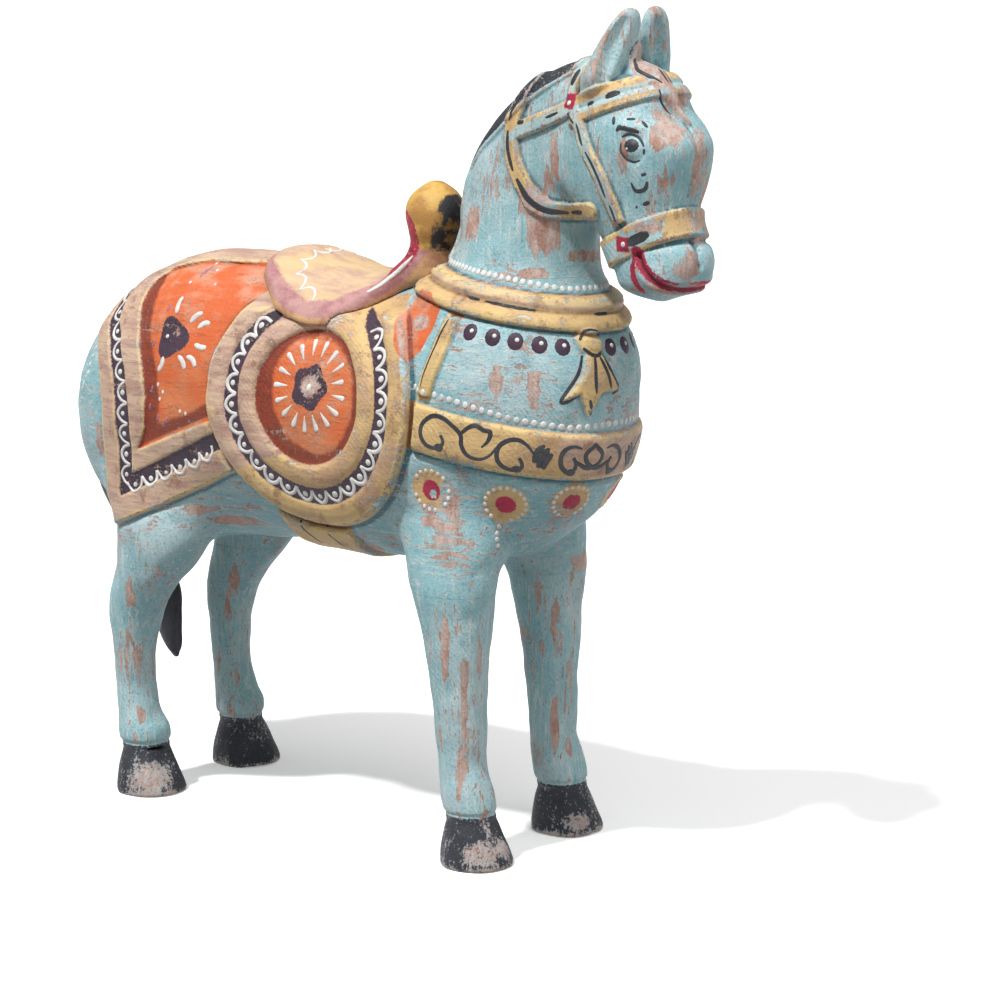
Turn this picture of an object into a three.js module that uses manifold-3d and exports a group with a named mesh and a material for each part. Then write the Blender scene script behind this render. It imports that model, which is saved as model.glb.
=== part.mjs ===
// A carved and painted wooden horse, standing on its four hooves with its head tucked down.
// It is put together from carved blocks: the body, the neck with the head, four legs, the tail and
// the saddle. Glued hardwood dowels join them. Units are millimetres, +Z is up, the horse faces +X
// and its right side is at -Y. The origin is on the floor, at the middle of the horse's outline.
import * as THREE from "three";
import { mergeVertices } from "three/addons/utils/BufferGeometryUtils.js";
import Module from "manifold-3d";

const wasm = await Module();
wasm.setup();

// Driving dimensions
const MIDDLE_X = 15.5; // the sections below are laid out from the point midway between the hooves
const HOOF_SPREAD = 42; // from the centre plane to the middle of a hoof
const JOINT_GAP = 0.3; // a glue line, and the room around a dowel
const FRONT_SEAM_Z = 150; // where the front legs meet the body
const HIND_SEAM_Z = 138; // where the hind legs meet the body
const NECK_SEAM_Z = 321; // where the neck meets the body
const HEAD_TURN = -8; // degrees about Z, so the head looks a little to its right
const HEAD_PIVOT_X = 165;
const DOWELS = {
  dowel_front_leg_right: { radius: 6, length: 42, x: 106, y: -42, z: 150 },
  dowel_front_leg_left: { radius: 6, length: 42, x: 106, y: 42, z: 150 },
  dowel_hind_leg_right: { radius: 6, length: 36, x: -120, y: -42, z: 138 },
  dowel_hind_leg_left: { radius: 6, length: 36, x: -120, y: 42, z: 138 },
  dowel_neck_rear: { radius: 7, length: 56, x: 106, y: 0, z: 321 },
  dowel_neck_front: { radius: 7, length: 56, x: 140, y: 0, z: 321 },
  dowel_saddle_rear: { radius: 3.5, length: 22, x: -28, y: 0, z: 313 },
  dowel_saddle_front: { radius: 5, length: 36, x: 56, y: 0, z: 312 },
  dowel_tail: { radius: 3.5, length: 32, x: -188, y: 0, z: 213, level: true },
};

const MATERIALS = {
  paintedWood: () => paint(0x79b8b8, 0.72),
  paintedSaddle: () => paint(0xcaa878, 0.6),
  blackTail: () => paint(0x23232a, 0.6),
  dowelWood: () => paint(0xb98a62, 0.8),
};

function paint(color, roughness) {
  return new THREE.MeshStandardMaterial({ color, roughness, metalness: 0 });
}

// A smooth value between the rows of a table, at t from 0 to 1.
function between(table, t) {
  const last = table.length - 1;
  const at = Math.min(Math.max(t, 0), 1) * last;
  const i = Math.min(Math.floor(at), last - 1);
  const f = at - i;
  const row = (k) => table[Math.min(Math.max(k, 0), last)];
  return table[i].map((_, c) => {
    const [p0, p1, p2, p3] = [row(i - 1)[c], row(i)[c], row(i + 1)[c], row(i + 2)[c]];
    const bend = 2 * p0 - 5 * p1 + 4 * p2 - p3;
    const twist = 3 * (p1 - p2) + p3 - p0;
    return p1 + 0.5 * f * (p2 - p0 + f * (bend + f * twist));
  });
}

// A closed skin over cross-sections. A row is [x, y, z, deep, wide, lean]: the section's centre, its
// half-size in the XZ plane and across, and how far its normal leans from +Z towards +X, in degrees.
// power 2 gives ellipses, and more gives squarer sections.
function skin(table, { rows, around, power = 2, grow = 0 }) {
  const tube = new THREE.CylinderGeometry(1, 1, 1, around, rows);
  const points = tube.getAttribute("position");
  for (let i = 0; i < points.count; i++) {
    const [x, y, z, deep, wide, lean] = between(table, points.getY(i) + 0.5);
    const [u, v] = [points.getX(i), points.getZ(i)];
    const radius = Math.hypot(u, v);
    const round = radius < 1e-6 ? 0 : radius / squareness(u / radius, v / radius, power);
    const tilt = THREE.MathUtils.degToRad(lean);
    const along = (deep + grow) * round * (radius < 1e-6 ? 0 : u / radius);
    const across = (wide + grow) * round * (radius < 1e-6 ? 0 : v / radius);
    points.setXYZ(i, x + along * Math.cos(tilt), y - across, z - along * Math.sin(tilt));
  }
  return welded(tube);
}

// How far a unit direction lies from the rim of a superellipse.
function squareness(u, v, power) {
  return (Math.abs(u) ** power + Math.abs(v) ** power) ** (1 / power);
}

// One closed surface with shared vertices.
function welded(geometry) {
  geometry.deleteAttribute("normal");
  geometry.deleteAttribute("uv");
  return mergeVertices(geometry, 1e-3);
}

function solid(geometry) {
  return new wasm.Manifold(
    new wasm.Mesh({
      numProp: 3,
      vertProperties: new Float32Array(geometry.getAttribute("position").array),
      triVerts: new Uint32Array(geometry.index.array),
    }),
  );
}

function geometryOf(made) {
  const { vertProperties, triVerts, numProp, numVert } = made.getMesh();
  const points = new Float32Array(numVert * 3);
  for (let i = 0; i < numVert; i++) {
    points.set(vertProperties.subarray(i * numProp, i * numProp + 3), i * 3);
  }
  const geometry = new THREE.BufferGeometry();
  geometry.setAttribute("position", new THREE.BufferAttribute(points, 3));
  geometry.setIndex(new THREE.BufferAttribute(new Uint32Array(triVerts), 1));
  return geometry;
}

// A large block above (side 1) or below (side -1) a level plane, for cutting at a joint.
function halfSpace(z, side) {
  const size = 600;
  const block = new THREE.BoxGeometry(size, size, size);
  block.translate(0, 0, z + (side * size) / 2);
  return solid(welded(block));
}

// A dowel, standing up unless it is level. room widens and lengthens it for its bore.
function dowel({ radius, length, x, y, z, level = false }, room = 0) {
  const rod = new THREE.CylinderGeometry(radius + room, radius + room, length + 2 * room, 16);
  if (level) {
    rod.rotateZ(Math.PI / 2);
  } else {
    rod.rotateX(Math.PI / 2);
  }
  rod.translate(x, y, z);
  return solid(welded(rod));
}

// Body: barrel, chest and rump, from the tail end forwards. Its sections stand across the horse.
const BODY = [
  // x, y, z, half height, half width, lean
  [-198, 0, 221, 2, 2, 90],
  [-194, 0, 221, 23, 19, 90],
  [-182, 0, 222, 45, 38, 90],
  [-160, 0, 225, 66, 53, 90],
  [-128, 0, 230, 80, 60, 90],
  [-90, 0, 236, 83, 61, 90],
  [-45, 0, 238, 80, 60, 90],
  [0, 0, 235, 77, 60, 90],
  [45, 0, 233, 76, 61, 90],
  [90, 0, 239, 78, 61, 90],
  [122, 0, 243, 78, 59, 90],
  [148, 0, 246, 66, 51, 90],
  [168, 0, 247, 49, 38, 90],
  [180, 0, 247, 27, 21, 90],
  [184, 0, 247, 2, 2, 90],
];

// Neck, from inside the chest up to the poll, in level sections.
const NECK = [
  [114, 0, 235, 52, 44, 0],
  [120, 0, 270, 60, 51, 0],
  [121, 0, 298, 54, 46, 0],
  [123, 0, 320, 43, 38, 0],
  [125, 0, 340, 40.5, 33, 0],
  [127.5, 0, 360, 40, 30.5, 0],
  [131, 0, 378, 38, 29, 0],
  [138, 0, 396, 32, 28, 0],
  [147, 0, 410, 27, 26.5, 0],
  [158, 0, 422, 21, 24, 0],
  [168, 0, 430, 13, 16, 0],
  [173, 0, 434, 1, 1, 0],
];

// Head, from the poll down to the lips, in level sections, before it is turned.
const HEAD = [
  [192, 0, 433, 3, 3, 180],
  [190, 0, 428.5, 24, 15, 180],
  [189, 0, 419, 34.5, 23, 180],
  [188, 0, 408, 40, 28, 180],
  [190.5, 0, 395, 49.5, 30, 180],
  [191.5, 0, 383, 48.5, 30, 180],
  [193, 0, 371, 43, 29, 180],
  [199, 0, 358, 34, 25, 180],
  [208, 0, 347, 28.5, 21.5, 180],
  [215, 0, 337, 27.5, 21.5, 180],
  [217.5, 0, 327, 24.5, 21.5, 180],
  [217, 0, 318, 18, 18, 180],
  [217, 0, 311.5, 3, 3, 180],
];

// Ear, from its root up to the tip.
const EAR = [
  [184, 16, 414, 7, 9, 0],
  [189, 16.5, 424, 10, 13, 0],
  [192.5, 15.2, 433, 9.5, 13, 0],
  [195.2, 13.4, 442, 8.2, 12, 0],
  [198, 11.6, 450, 6.8, 10.6, 0],
  [200.2, 10.2, 456, 5.2, 8.6, 0],
  [201, 9.4, 460.3, 3.2, 5.6, 0],
  [201.2, 9.2, 462, 0.8, 1.6, 0],
];

// The left ear is narrower than the right one.
const LEFT_EAR = EAR.map(([x, y, z, deep, wide, lean]) => [x, y + 0.8, z, deep, wide * 0.9, lean]);

// Front leg, from the coronet up into the shoulder. The hoof is under it.
const FRONT_LEG = [
  [117, 42, 25, 13, 13, 0],
  [116, 42, 30.5, 14.5, 14, 0],
  [114, 42, 39, 14.5, 14, 0],
  [111, 42, 55, 13, 13, 0],
  [110, 42, 78, 13.8, 14, 0],
  [109, 42, 100, 15.5, 15.5, 0],
  [108, 42, 120, 17.5, 17.5, 0],
  [106, 42, 143, 21.5, 19.5, 0],
  [104, 41, 160, 26, 20, 0],
  [103, 38, 180, 28, 20, 0],
  [103, 34, 205, 18, 14, 0],
];

// Hind leg, from the coronet up through the hock into the thigh.
const HIND_LEG = [
  [-128, 42, 26.5, 12.5, 12.5, 0],
  [-129, 42, 32, 14.5, 14, 0],
  [-130, 42, 38.5, 14.5, 14, 0],
  [-133, 42, 48, 12, 12.5, 0],
  [-136, 42, 66, 10.8, 11.5, 0],
  [-136, 42, 88, 12, 12.5, 0],
  [-134, 42, 106, 15.5, 15, 0],
  [-128, 42, 121, 19, 17, 0],
  [-117, 42, 140, 25.5, 19, 0],
  [-110, 41, 160, 33, 20, 0],
  [-112, 38, 182, 38, 20, 0],
  [-116, 34, 208, 28, 14, 0],
];

// Hoof, from the floor up to the coronet, about the leg's own line.
const HOOF = [
  [4, 0, 0, 20, 19, 0],
  [4, 0, 2, 20.5, 19.5, 0],
  [3, 0, 8, 19, 18.5, 0],
  [1, 0, 19, 15.5, 15.5, 0],
  [0, 0, 27, 12.5, 12.5, 0],
];

// Tail, from its root in the rump down between the hind legs.
const TAIL = [
  [-184, 0, 226, 7, 7, 262],
  [-196, 0, 222, 8, 7.5, 240],
  [-201, 0, 210, 8.5, 8, 200],
  [-198, 0, 193, 9, 8.5, 168],
  [-189, 0, 173, 9.5, 9, 150],
  [-176, 0, 154, 9.5, 9, 145],
  [-163, 0, 135, 9.5, 9, 150],
  [-153, 0, 114, 10.5, 9.5, 160],
  [-148.5, 0, 96, 8.8, 8, 166],
  [-146, 0, 84, 6.8, 6.4, 170],
  [-143.5, 0, 75, 4.2, 4, 172],
  [-142.3, 0, 71.2, 2.2, 2, 172],
  [-142, 0, 70, 0.6, 0.6, 172],
];

// Saddle seat before it is trimmed: sections across the back, from the cantle forwards.
const SEAT = [
  [-59, 0, 262, 58, 53, 90],
  [-44, 0, 262, 63, 58, 90],
  [-27, 0, 262, 66, 62, 90],
  [-5, 0, 262, 60, 63, 90],
  [21, 0, 262, 55, 62, 90],
  [40, 0, 262, 58, 54, 90],
  [52, 0, 262, 69, 38, 90],
  [62, 0, 262, 72, 20, 90],
];

// Half of the seat's outline seen from above, from the middle of the cantle to the pommel.
const SEAT_OUTLINE = [
  [-47, 0],
  [-44, 19],
  [-34, 37],
  [-14, 49.5],
  [7, 54.5],
  [23, 51.5],
  [40, 36],
  [54, 18],
  [62, 9],
  [66, 0],
];

const POMMEL = [
  [58, 0, 300, 13, 13, 0],
  [60, 0, 318, 12, 12, 0],
  [60, 0, 330, 13, 13, 0],
  [61, 0, 341, 16, 16, 0],
  [61, 0, 351, 16.5, 16.5, 0],
  [61, 0, 360, 12.5, 12.5, 0],
  [61, 0, 366, 5, 5, 0],
  [61, 0, 367, 1, 1, 0],
];

// Raised carving on the body, each outline seen from the side as [x, z].
const CLOTH = {
  rise: 2.4,
  outline: [
    [-136, 161],
    [-120, 167],
    [-97, 176.5],
    [-76, 186.5],
    [-52, 197.5],
    [-20, 211],
    [30, 228],
    [30, 400],
    [-168, 400],
    [-166, 290],
    [-160, 272],
    [-151, 261],
    [-144, 246],
    [-141, 229],
    [-142, 181],
  ],
};
const FLAP = { rise: 4.5, fieldRise: 2.3, x: 19, z: 250, radius: 73, field: 37, topZ: 300 };
const CHEST_STRAP = {
  rise: 2.5,
  outline: [
    [95, 256],
    [105, 256],
    [113, 280],
    [119, 303],
    [109, 304],
    [102, 280],
  ],
};
const BELLY_GIRTH = {
  rise: 2.7,
  outline: [
    [-17, 130],
    [33, 130],
    [33, 190],
    [-17, 190],
  ],
};
const CHEST_BAND = { rise: 3.2, width: 26, x: 95, z: 241.5, lean: 9.4, from: 92, to: 230 };
const COLLAR = { rise: 3.2, width: 17, x: 84, z: 316, lean: 8.5, from: 62, to: 230 };

function mirrored(table, side) {
  return table.map(([x, y, z, ...rest]) => [x, y * side, z, ...rest]);
}

function shifted(table, dx, dy) {
  return table.map(([x, y, ...rest]) => [x + dx, y + dy, ...rest]);
}

function legSolid(table, side) {
  const limb = solid(skin(mirrored(table, side), { rows: 17, around: 16, power: 2.2 }));
  const foot = table[0][0];
  const hoofTable = shifted(HOOF, foot, side * HOOF_SPREAD);
  return limb.add(solid(skin(hoofTable, { rows: 5, around: 16, power: 2.2 })));
}

function headSolid() {
  let head = solid(skin(HEAD, { rows: 16, around: 20, power: 2.6 }));
  for (const [side, table] of [[-1, EAR], [1, LEFT_EAR]]) {
    head = head.add(solid(skin(mirrored(table, side), { rows: 7, around: 10 })));
  }
  const turn = new THREE.Matrix4().makeTranslation(HEAD_PIVOT_X, 0, 0);
  turn.multiply(new THREE.Matrix4().makeRotationZ(THREE.MathUtils.degToRad(HEAD_TURN)));
  turn.multiply(new THREE.Matrix4().makeTranslation(-HEAD_PIVOT_X, 0, 0));
  return head.transform(turn.elements);
}

const bodySkin = (grow) => solid(skin(BODY, { rows: 22, around: 24, power: 2.15, grow }));
const neckSkin = (grow) => solid(skin(NECK, { rows: 14, around: 22, grow }));
const rightFront = legSolid(FRONT_LEG, -1);
const leftFront = legSolid(FRONT_LEG, 1);
const rightHind = legSolid(HIND_LEG, -1);
const leftHind = legSolid(HIND_LEG, 1);

// A block right across the horse whose side view is the given shape.
function acrossShape(shape) {
  const depth = 200;
  const block = new THREE.ExtrudeGeometry(shape, { depth, bevelEnabled: false, curveSegments: 16 });
  block.rotateX(Math.PI / 2);
  block.translate(0, depth / 2, 0);
  return solid(welded(block));
}

// The same for an outline of [x, z] points.
function across(outline) {
  return acrossShape(new THREE.Shape(outline.map(([x, z]) => new THREE.Vector2(x, z))));
}

// A level slice that leans down towards the chest.
function slab({ width, x, z, lean, from, to }) {
  const block = new THREE.BoxGeometry(to - from, 200, width);
  block.translate((from + to) / 2 - x, 0, 0);
  block.rotateY(THREE.MathUtils.degToRad(lean));
  block.translate(x, 0, z);
  return solid(welded(block));
}

function disc(radius) {
  const shape = new THREE.Shape();
  shape.absarc(FLAP.x, FLAP.z, radius, 0, Math.PI * 2);
  return acrossShape(shape).intersect(halfSpace(FLAP.topZ, -1));
}

function bodyBlock() {
  const neckStub = (grow) => neckSkin(grow).intersect(halfSpace(NECK_SEAM_Z, -1));
  let made = bodySkin(0).add(neckStub(0));
  const raised = (rise, region) => {
    made = made.add(bodySkin(rise).intersect(region));
  };
  raised(CLOTH.rise, across(CLOTH.outline));
  raised(FLAP.fieldRise, disc(FLAP.field + 2));
  raised(FLAP.rise, disc(FLAP.radius).subtract(disc(FLAP.field)));
  raised(CHEST_STRAP.rise, across(CHEST_STRAP.outline));
  raised(BELLY_GIRTH.rise, across(BELLY_GIRTH.outline));
  raised(CHEST_BAND.rise, slab(CHEST_BAND));
  made = made.add(neckStub(COLLAR.rise).intersect(slab(COLLAR)));
  for (const leg of [rightFront, leftFront]) {
    made = made.add(leg.intersect(halfSpace(FRONT_SEAM_Z, 1)));
  }
  for (const leg of [rightHind, leftHind]) {
    made = made.add(leg.intersect(halfSpace(HIND_SEAM_Z, 1)));
  }
  return made;
}

function saddleSolid() {
  const outline = new THREE.Shape();
  const half = SEAT_OUTLINE.map(([x, y]) => new THREE.Vector2(x, y));
  const mirror = SEAT_OUTLINE.slice(1, -1).map(([x, y]) => new THREE.Vector2(x, -y));
  outline.splineThru([...mirror, half[SEAT_OUTLINE.length - 1], ...half.slice(1, -1).reverse(), half[0]]);
  const plan = new THREE.ExtrudeGeometry(outline, { depth: 200, bevelEnabled: false, curveSegments: 2 });
  plan.translate(0, 0, 270);
  const seat = solid(skin(SEAT, { rows: 12, around: 32 })).intersect(solid(welded(plan)));
  return seat.add(solid(skin(POMMEL, { rows: 10, around: 16 })));
}

// What the saddle is hollowed to sit on: the cloth, the flaps and the collar.
function underSaddle() {
  const flaps = bodySkin(FLAP.rise + JOINT_GAP).intersect(halfSpace(FLAP.topZ + JOINT_GAP, -1));
  return bodySkin(CLOTH.rise + JOINT_GAP).add(flaps).add(neckSkin(COLLAR.rise + JOINT_GAP));
}

const horse = new THREE.Group();
horse.position.x = -MIDDLE_X;

let bores = null;
for (const spec of Object.values(DOWELS)) {
  const bore = dowel(spec, JOINT_GAP);
  bores = bores ? bores.add(bore) : bore;
}

function place(name, made, material) {
  const mesh = new THREE.Mesh(geometryOf(made), material);
  mesh.name = name;
  horse.add(mesh);
}

// Places a carved block with its dowel bores drilled.
function placeBored(name, made, material) {
  place(name, made.subtract(bores), material);
}

placeBored("body_block", bodyBlock(), MATERIALS.paintedWood());
const upperNeck = neckSkin(0).intersect(halfSpace(NECK_SEAM_Z + JOINT_GAP, 1));
placeBored("neck_and_head", upperNeck.add(headSolid()), MATERIALS.paintedWood());
const legs = {
  front_leg_right: [rightFront, FRONT_SEAM_Z],
  front_leg_left: [leftFront, FRONT_SEAM_Z],
  hind_leg_right: [rightHind, HIND_SEAM_Z],
  hind_leg_left: [leftHind, HIND_SEAM_Z],
};
for (const [name, [leg, seam]] of Object.entries(legs)) {
  placeBored(name, leg.intersect(halfSpace(seam - JOINT_GAP, -1)), MATERIALS.paintedWood());
}
const tail = solid(skin(TAIL, { rows: 16, around: 12 }));
placeBored("tail", tail.subtract(bodySkin(JOINT_GAP)), MATERIALS.blackTail());
placeBored("saddle", saddleSolid().subtract(underSaddle()), MATERIALS.paintedSaddle());
for (const [name, spec] of Object.entries(DOWELS)) {
  place(name, dowel(spec), MATERIALS.dowelWood());
}

export default horse;
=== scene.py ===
"""The looks of the carved and painted wooden horse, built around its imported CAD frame."""

import math

import bmesh
import bpy
import numpy as np
import openvdb
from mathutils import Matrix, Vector
from mathutils.bvhtree import BVHTree


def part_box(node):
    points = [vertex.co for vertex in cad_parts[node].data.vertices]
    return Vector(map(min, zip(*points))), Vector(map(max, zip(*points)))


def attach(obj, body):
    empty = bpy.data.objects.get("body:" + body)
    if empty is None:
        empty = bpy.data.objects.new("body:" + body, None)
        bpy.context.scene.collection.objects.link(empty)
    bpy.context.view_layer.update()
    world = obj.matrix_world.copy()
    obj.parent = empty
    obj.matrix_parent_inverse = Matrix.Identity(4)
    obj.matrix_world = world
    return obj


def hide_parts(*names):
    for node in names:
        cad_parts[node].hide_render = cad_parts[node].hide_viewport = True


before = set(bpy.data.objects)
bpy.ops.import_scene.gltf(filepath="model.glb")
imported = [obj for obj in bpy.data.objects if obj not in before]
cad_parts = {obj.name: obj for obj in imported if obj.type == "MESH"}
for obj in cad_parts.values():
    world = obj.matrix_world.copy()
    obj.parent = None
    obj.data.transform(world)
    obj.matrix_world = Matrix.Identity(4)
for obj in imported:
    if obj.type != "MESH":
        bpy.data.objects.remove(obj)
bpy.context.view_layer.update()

# Sculpting is done in millimetres from the point on the floor midway between the four hooves.
# The tip of a front hoof is 141.5 mm ahead of that point, which ties it to the frame.
FRONT_HOOF_TIP = 141.5
FRAME_SHIFT = np.array([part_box("front_leg_right")[1].x * 1000 - FRONT_HOOF_TIP, 0.0, 0.0])
# The CAD's blocks stop this far short of each joint's middle; the carved ones leave a hairline.
CAD_HALF_GAP, SEAM = 0.15, 0.1
FRONT_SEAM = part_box("front_leg_right")[1].z * 1000 + CAD_HALF_GAP
HIND_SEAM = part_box("hind_leg_right")[1].z * 1000 + CAD_HALF_GAP
NECK_SEAM = 321.15
# The head is turned to the horse's right about a vertical line at this x.
HEAD_TURN, HEAD_PIVOT = math.radians(-8), 165.0
# How far from a surface its distance is kept, the finer voxel, and a mark's value far from its paint.
FAR, FINE, NOWHERE = 24.0, 0.8, 30.0
LEG_Y = 42

# Cross-sections as [x, y, z, deep, wide, lean]: centre, half sizes in the XZ plane and across, and
# the lean of the section's normal from +Z towards +X in degrees. They are the CAD part's own.
BODY = [
    [-198, 0, 221, 2, 2, 90], [-194, 0, 221, 23, 19, 90], [-182, 0, 222, 45, 38, 90],
    [-160, 0, 225, 66, 53, 90], [-128, 0, 230, 80, 60, 90], [-90, 0, 236, 83, 61, 90],
    [-45, 0, 238, 80, 60, 90], [0, 0, 235, 77, 60, 90], [45, 0, 233, 76, 61, 90],
    [90, 0, 239, 78, 61, 90], [122, 0, 243, 78, 59, 90], [148, 0, 246, 66, 51, 90],
    [168, 0, 247, 49, 38, 90], [180, 0, 247, 27, 21, 90], [184, 0, 247, 2, 2, 90],
]
NECK = [
    [114, 0, 235, 52, 44, 0], [120, 0, 270, 60, 51, 0], [121, 0, 298, 54, 46, 0],
    [123, 0, 320, 43, 38, 0], [125, 0, 340, 40.5, 33, 0], [127.5, 0, 360, 40, 30.5, 0],
    [131, 0, 378, 38, 29, 0], [138, 0, 396, 32, 28, 0], [147, 0, 410, 27, 26.5, 0],
    [158, 0, 422, 21, 24, 0], [168, 0, 430, 13, 16, 0], [173, 0, 434, 1, 1, 0],
]
HEAD = [
    [192, 0, 433, 3, 3, 180], [190, 0, 428.5, 24, 15, 180], [189, 0, 419, 34.5, 23, 180],
    [188, 0, 408, 40, 28, 180], [190.5, 0, 395, 49.5, 30, 180], [191.5, 0, 383, 48.5, 30, 180],
    [193, 0, 371, 43, 29, 180], [199, 0, 358, 34, 25, 180], [208, 0, 347, 28.5, 21.5, 180],
    [215, 0, 337, 27.5, 21.5, 180], [217.5, 0, 327, 24.5, 21.5, 180], [217, 0, 318, 18, 18, 180],
    [217, 0, 311.5, 3, 3, 180],
]
EAR = [
    [184, 16, 414, 7, 9, 0], [189, 16.5, 424, 10, 13, 0], [192.5, 15.2, 433, 9.5, 13, 0],
    [195.2, 13.4, 442, 8.2, 12, 0], [198, 11.6, 450, 6.8, 10.6, 0],
    [200.2, 10.2, 456, 5.2, 8.6, 0], [201, 9.4, 460.3, 3.2, 5.6, 0],
    [201.2, 9.2, 462, 0.8, 1.6, 0],
]
LEFT_EAR = [[x, y + 0.8, z, deep, wide * 0.9, lean] for x, y, z, deep, wide, lean in EAR]
FRONT_LEG = [
    [117, 42, 25, 13, 13, 0], [116, 42, 30.5, 14.5, 14, 0], [114, 42, 39, 14.5, 14, 0],
    [111, 42, 55, 13, 13, 0], [110, 42, 78, 13.8, 14, 0], [109, 42, 100, 15.5, 15.5, 0],
    [108, 42, 120, 17.5, 17.5, 0], [106, 42, 143, 21.5, 19.5, 0], [104, 41, 160, 26, 20, 0],
    [103, 38, 180, 28, 20, 0], [103, 34, 205, 18, 14, 0],
]
HIND_LEG = [
    [-128, 42, 26.5, 12.5, 12.5, 0], [-129, 42, 32, 14.5, 14, 0], [-130, 42, 38.5, 14.5, 14, 0],
    [-133, 42, 48, 12, 12.5, 0], [-136, 42, 66, 10.8, 11.5, 0], [-136, 42, 88, 12, 12.5, 0],
    [-134, 42, 106, 15.5, 15, 0], [-128, 42, 121, 19, 17, 0], [-117, 42, 140, 25.5, 19, 0],
    [-110, 41, 160, 33, 20, 0], [-112, 38, 182, 38, 20, 0], [-116, 34, 208, 28, 14, 0],
]
HOOF = [
    [4, 0, 0, 20, 19, 0], [4, 0, 2, 20.5, 19.5, 0], [3, 0, 8, 19, 18.5, 0],
    [1, 0, 19, 15.5, 15.5, 0], [0, 0, 27, 12.5, 12.5, 0],
]
TAIL = [
    [-184, 0, 226, 7, 7, 262], [-196, 0, 222, 8, 7.5, 240], [-201, 0, 210, 8.5, 8, 200],
    [-198, 0, 193, 9, 8.5, 168], [-189, 0, 173, 9.5, 9, 150], [-176, 0, 154, 9.5, 9, 145],
    [-163, 0, 135, 9.5, 9, 150], [-153, 0, 114, 10.5, 9.5, 160], [-148.5, 0, 96, 8.8, 8, 166],
    [-146, 0, 84, 6.8, 6.4, 170], [-143.5, 0, 75, 4.2, 4, 172], [-142.3, 0, 71.2, 2.2, 2, 172],
    [-142, 0, 70, 0.6, 0.6, 172],
]
SEAT = [
    [-59, 0, 262, 58, 53, 90], [-44, 0, 262, 63, 58, 90], [-27, 0, 262, 66, 62, 90],
    [-5, 0, 262, 60, 63, 90], [21, 0, 262, 55, 62, 90], [40, 0, 262, 58, 54, 90],
    [52, 0, 262, 69, 38, 90], [62, 0, 262, 72, 20, 90],
]
SEAT_OUTLINE = [
    [-47, 0], [-44, 19], [-34, 37], [-14, 49.5], [7, 54.5], [23, 51.5], [40, 36], [54, 18],
    [62, 9], [66, 0],
]
POMMEL = [
    [58, 0, 300, 13, 13, 0], [60, 0, 318, 12, 12, 0], [60, 0, 330, 13, 13, 0],
    [61, 0, 341, 16, 16, 0], [61, 0, 351, 16.5, 16.5, 0], [61, 0, 360, 12.5, 12.5, 0],
    [61, 0, 366, 5, 5, 0], [61, 0, 367, 1, 1, 0],
]


# ---------------------------------------------------------------- sculpting tools

def between(table, count):
    """The table's rows interpolated smoothly to count + 1 rows."""
    rows = np.array(table, float)
    last = len(rows) - 1
    at = np.linspace(0, last, count + 1)
    i = np.minimum(at.astype(int), last - 1)
    f = (at - i)[:, None]
    p0, p1 = rows[np.maximum(i - 1, 0)], rows[i]
    p2, p3 = rows[i + 1], rows[np.minimum(i + 2, last)]
    bend = 2 * p0 - 5 * p1 + 4 * p2 - p3
    twist = 3 * (p1 - p2) + p3 - p0
    return p1 + 0.5 * f * (p2 - p0 + f * (bend + f * twist))


def loft(table, power=2.0, grow=0.0, count=90, around=72):
    """Points and quads of a closed skin over the table's sections."""
    rows = between(table, count)
    angle = np.arange(around) / around * math.tau
    u, v = np.sin(angle), np.cos(angle)
    rim = (np.abs(u) ** power + np.abs(v) ** power) ** (-1 / power)
    deep = (rows[:, 3, None] + grow) * u * rim
    wide = (rows[:, 4, None] + grow) * v * rim
    tilt = np.radians(rows[:, 5, None])
    points = np.stack([
        rows[:, 0, None] + deep * np.cos(tilt),
        rows[:, 1, None] - wide,
        rows[:, 2, None] - deep * np.sin(tilt),
    ], axis=-1).reshape(-1, 3)
    ring, spoke = np.meshgrid(np.arange(count), np.arange(around), indexing="ij")
    following = (spoke + 1) % around
    quads = np.stack([
        ring * around + spoke,
        ring * around + following,
        (ring + 1) * around + following,
        (ring + 1) * around + spoke,
    ], axis=-1).reshape(-1, 4)
    ends = []
    for start, row in ((0, rows[0]), (count * around, rows[-1])):
        centre = len(points)
        points = np.vstack([points, row[:3]])
        rim_ids = start + np.arange(around)
        ends.append(np.stack([
            rim_ids, np.roll(rim_ids, -1), np.full(around, centre), np.full(around, centre),
        ], axis=-1))
    return points, np.vstack([quads, *ends])


def mirrored(table, side):
    """The table's rows on the left side, 1, as they are, or on the right, -1."""
    return [[x, y * side, *rest] for x, y, *rest in table]


class Block:
    """A box of voxels in which shapes are carved as signed distances, in millimetres."""

    def __init__(self, low, high, voxel):
        self.voxel = voxel
        self.start = np.floor(np.array(low) / voxel).astype(int)
        self.shape = tuple(np.ceil(np.array(high) / voxel).astype(int) - self.start + 1)
        x, y, z = [(self.start[k] + np.arange(self.shape[k])) * voxel for k in range(3)]
        self.x = x[:, None, None]
        self.y = y[None, :, None]
        self.z = z[None, None, :]

    def surface(self, values):
        """Points and quads where the values cross zero, closed at the block's own walls."""
        closed = values.copy()
        for axis in range(3):
            wall = [slice(None)] * 3
            for end in (0, -1):
                wall[axis] = end
                closed[tuple(wall)] = np.maximum(closed[tuple(wall)], self.voxel)
        grid = openvdb.FloatGrid(FAR)
        grid.copyFromArray(closed.astype(np.float32), ijk=tuple(int(i) for i in self.start))
        grid.transform = openvdb.createLinearTransform(voxelSize=self.voxel)
        points, quads = grid.convertToQuads(0.0)
        return points.astype(float), quads.astype(int)


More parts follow.
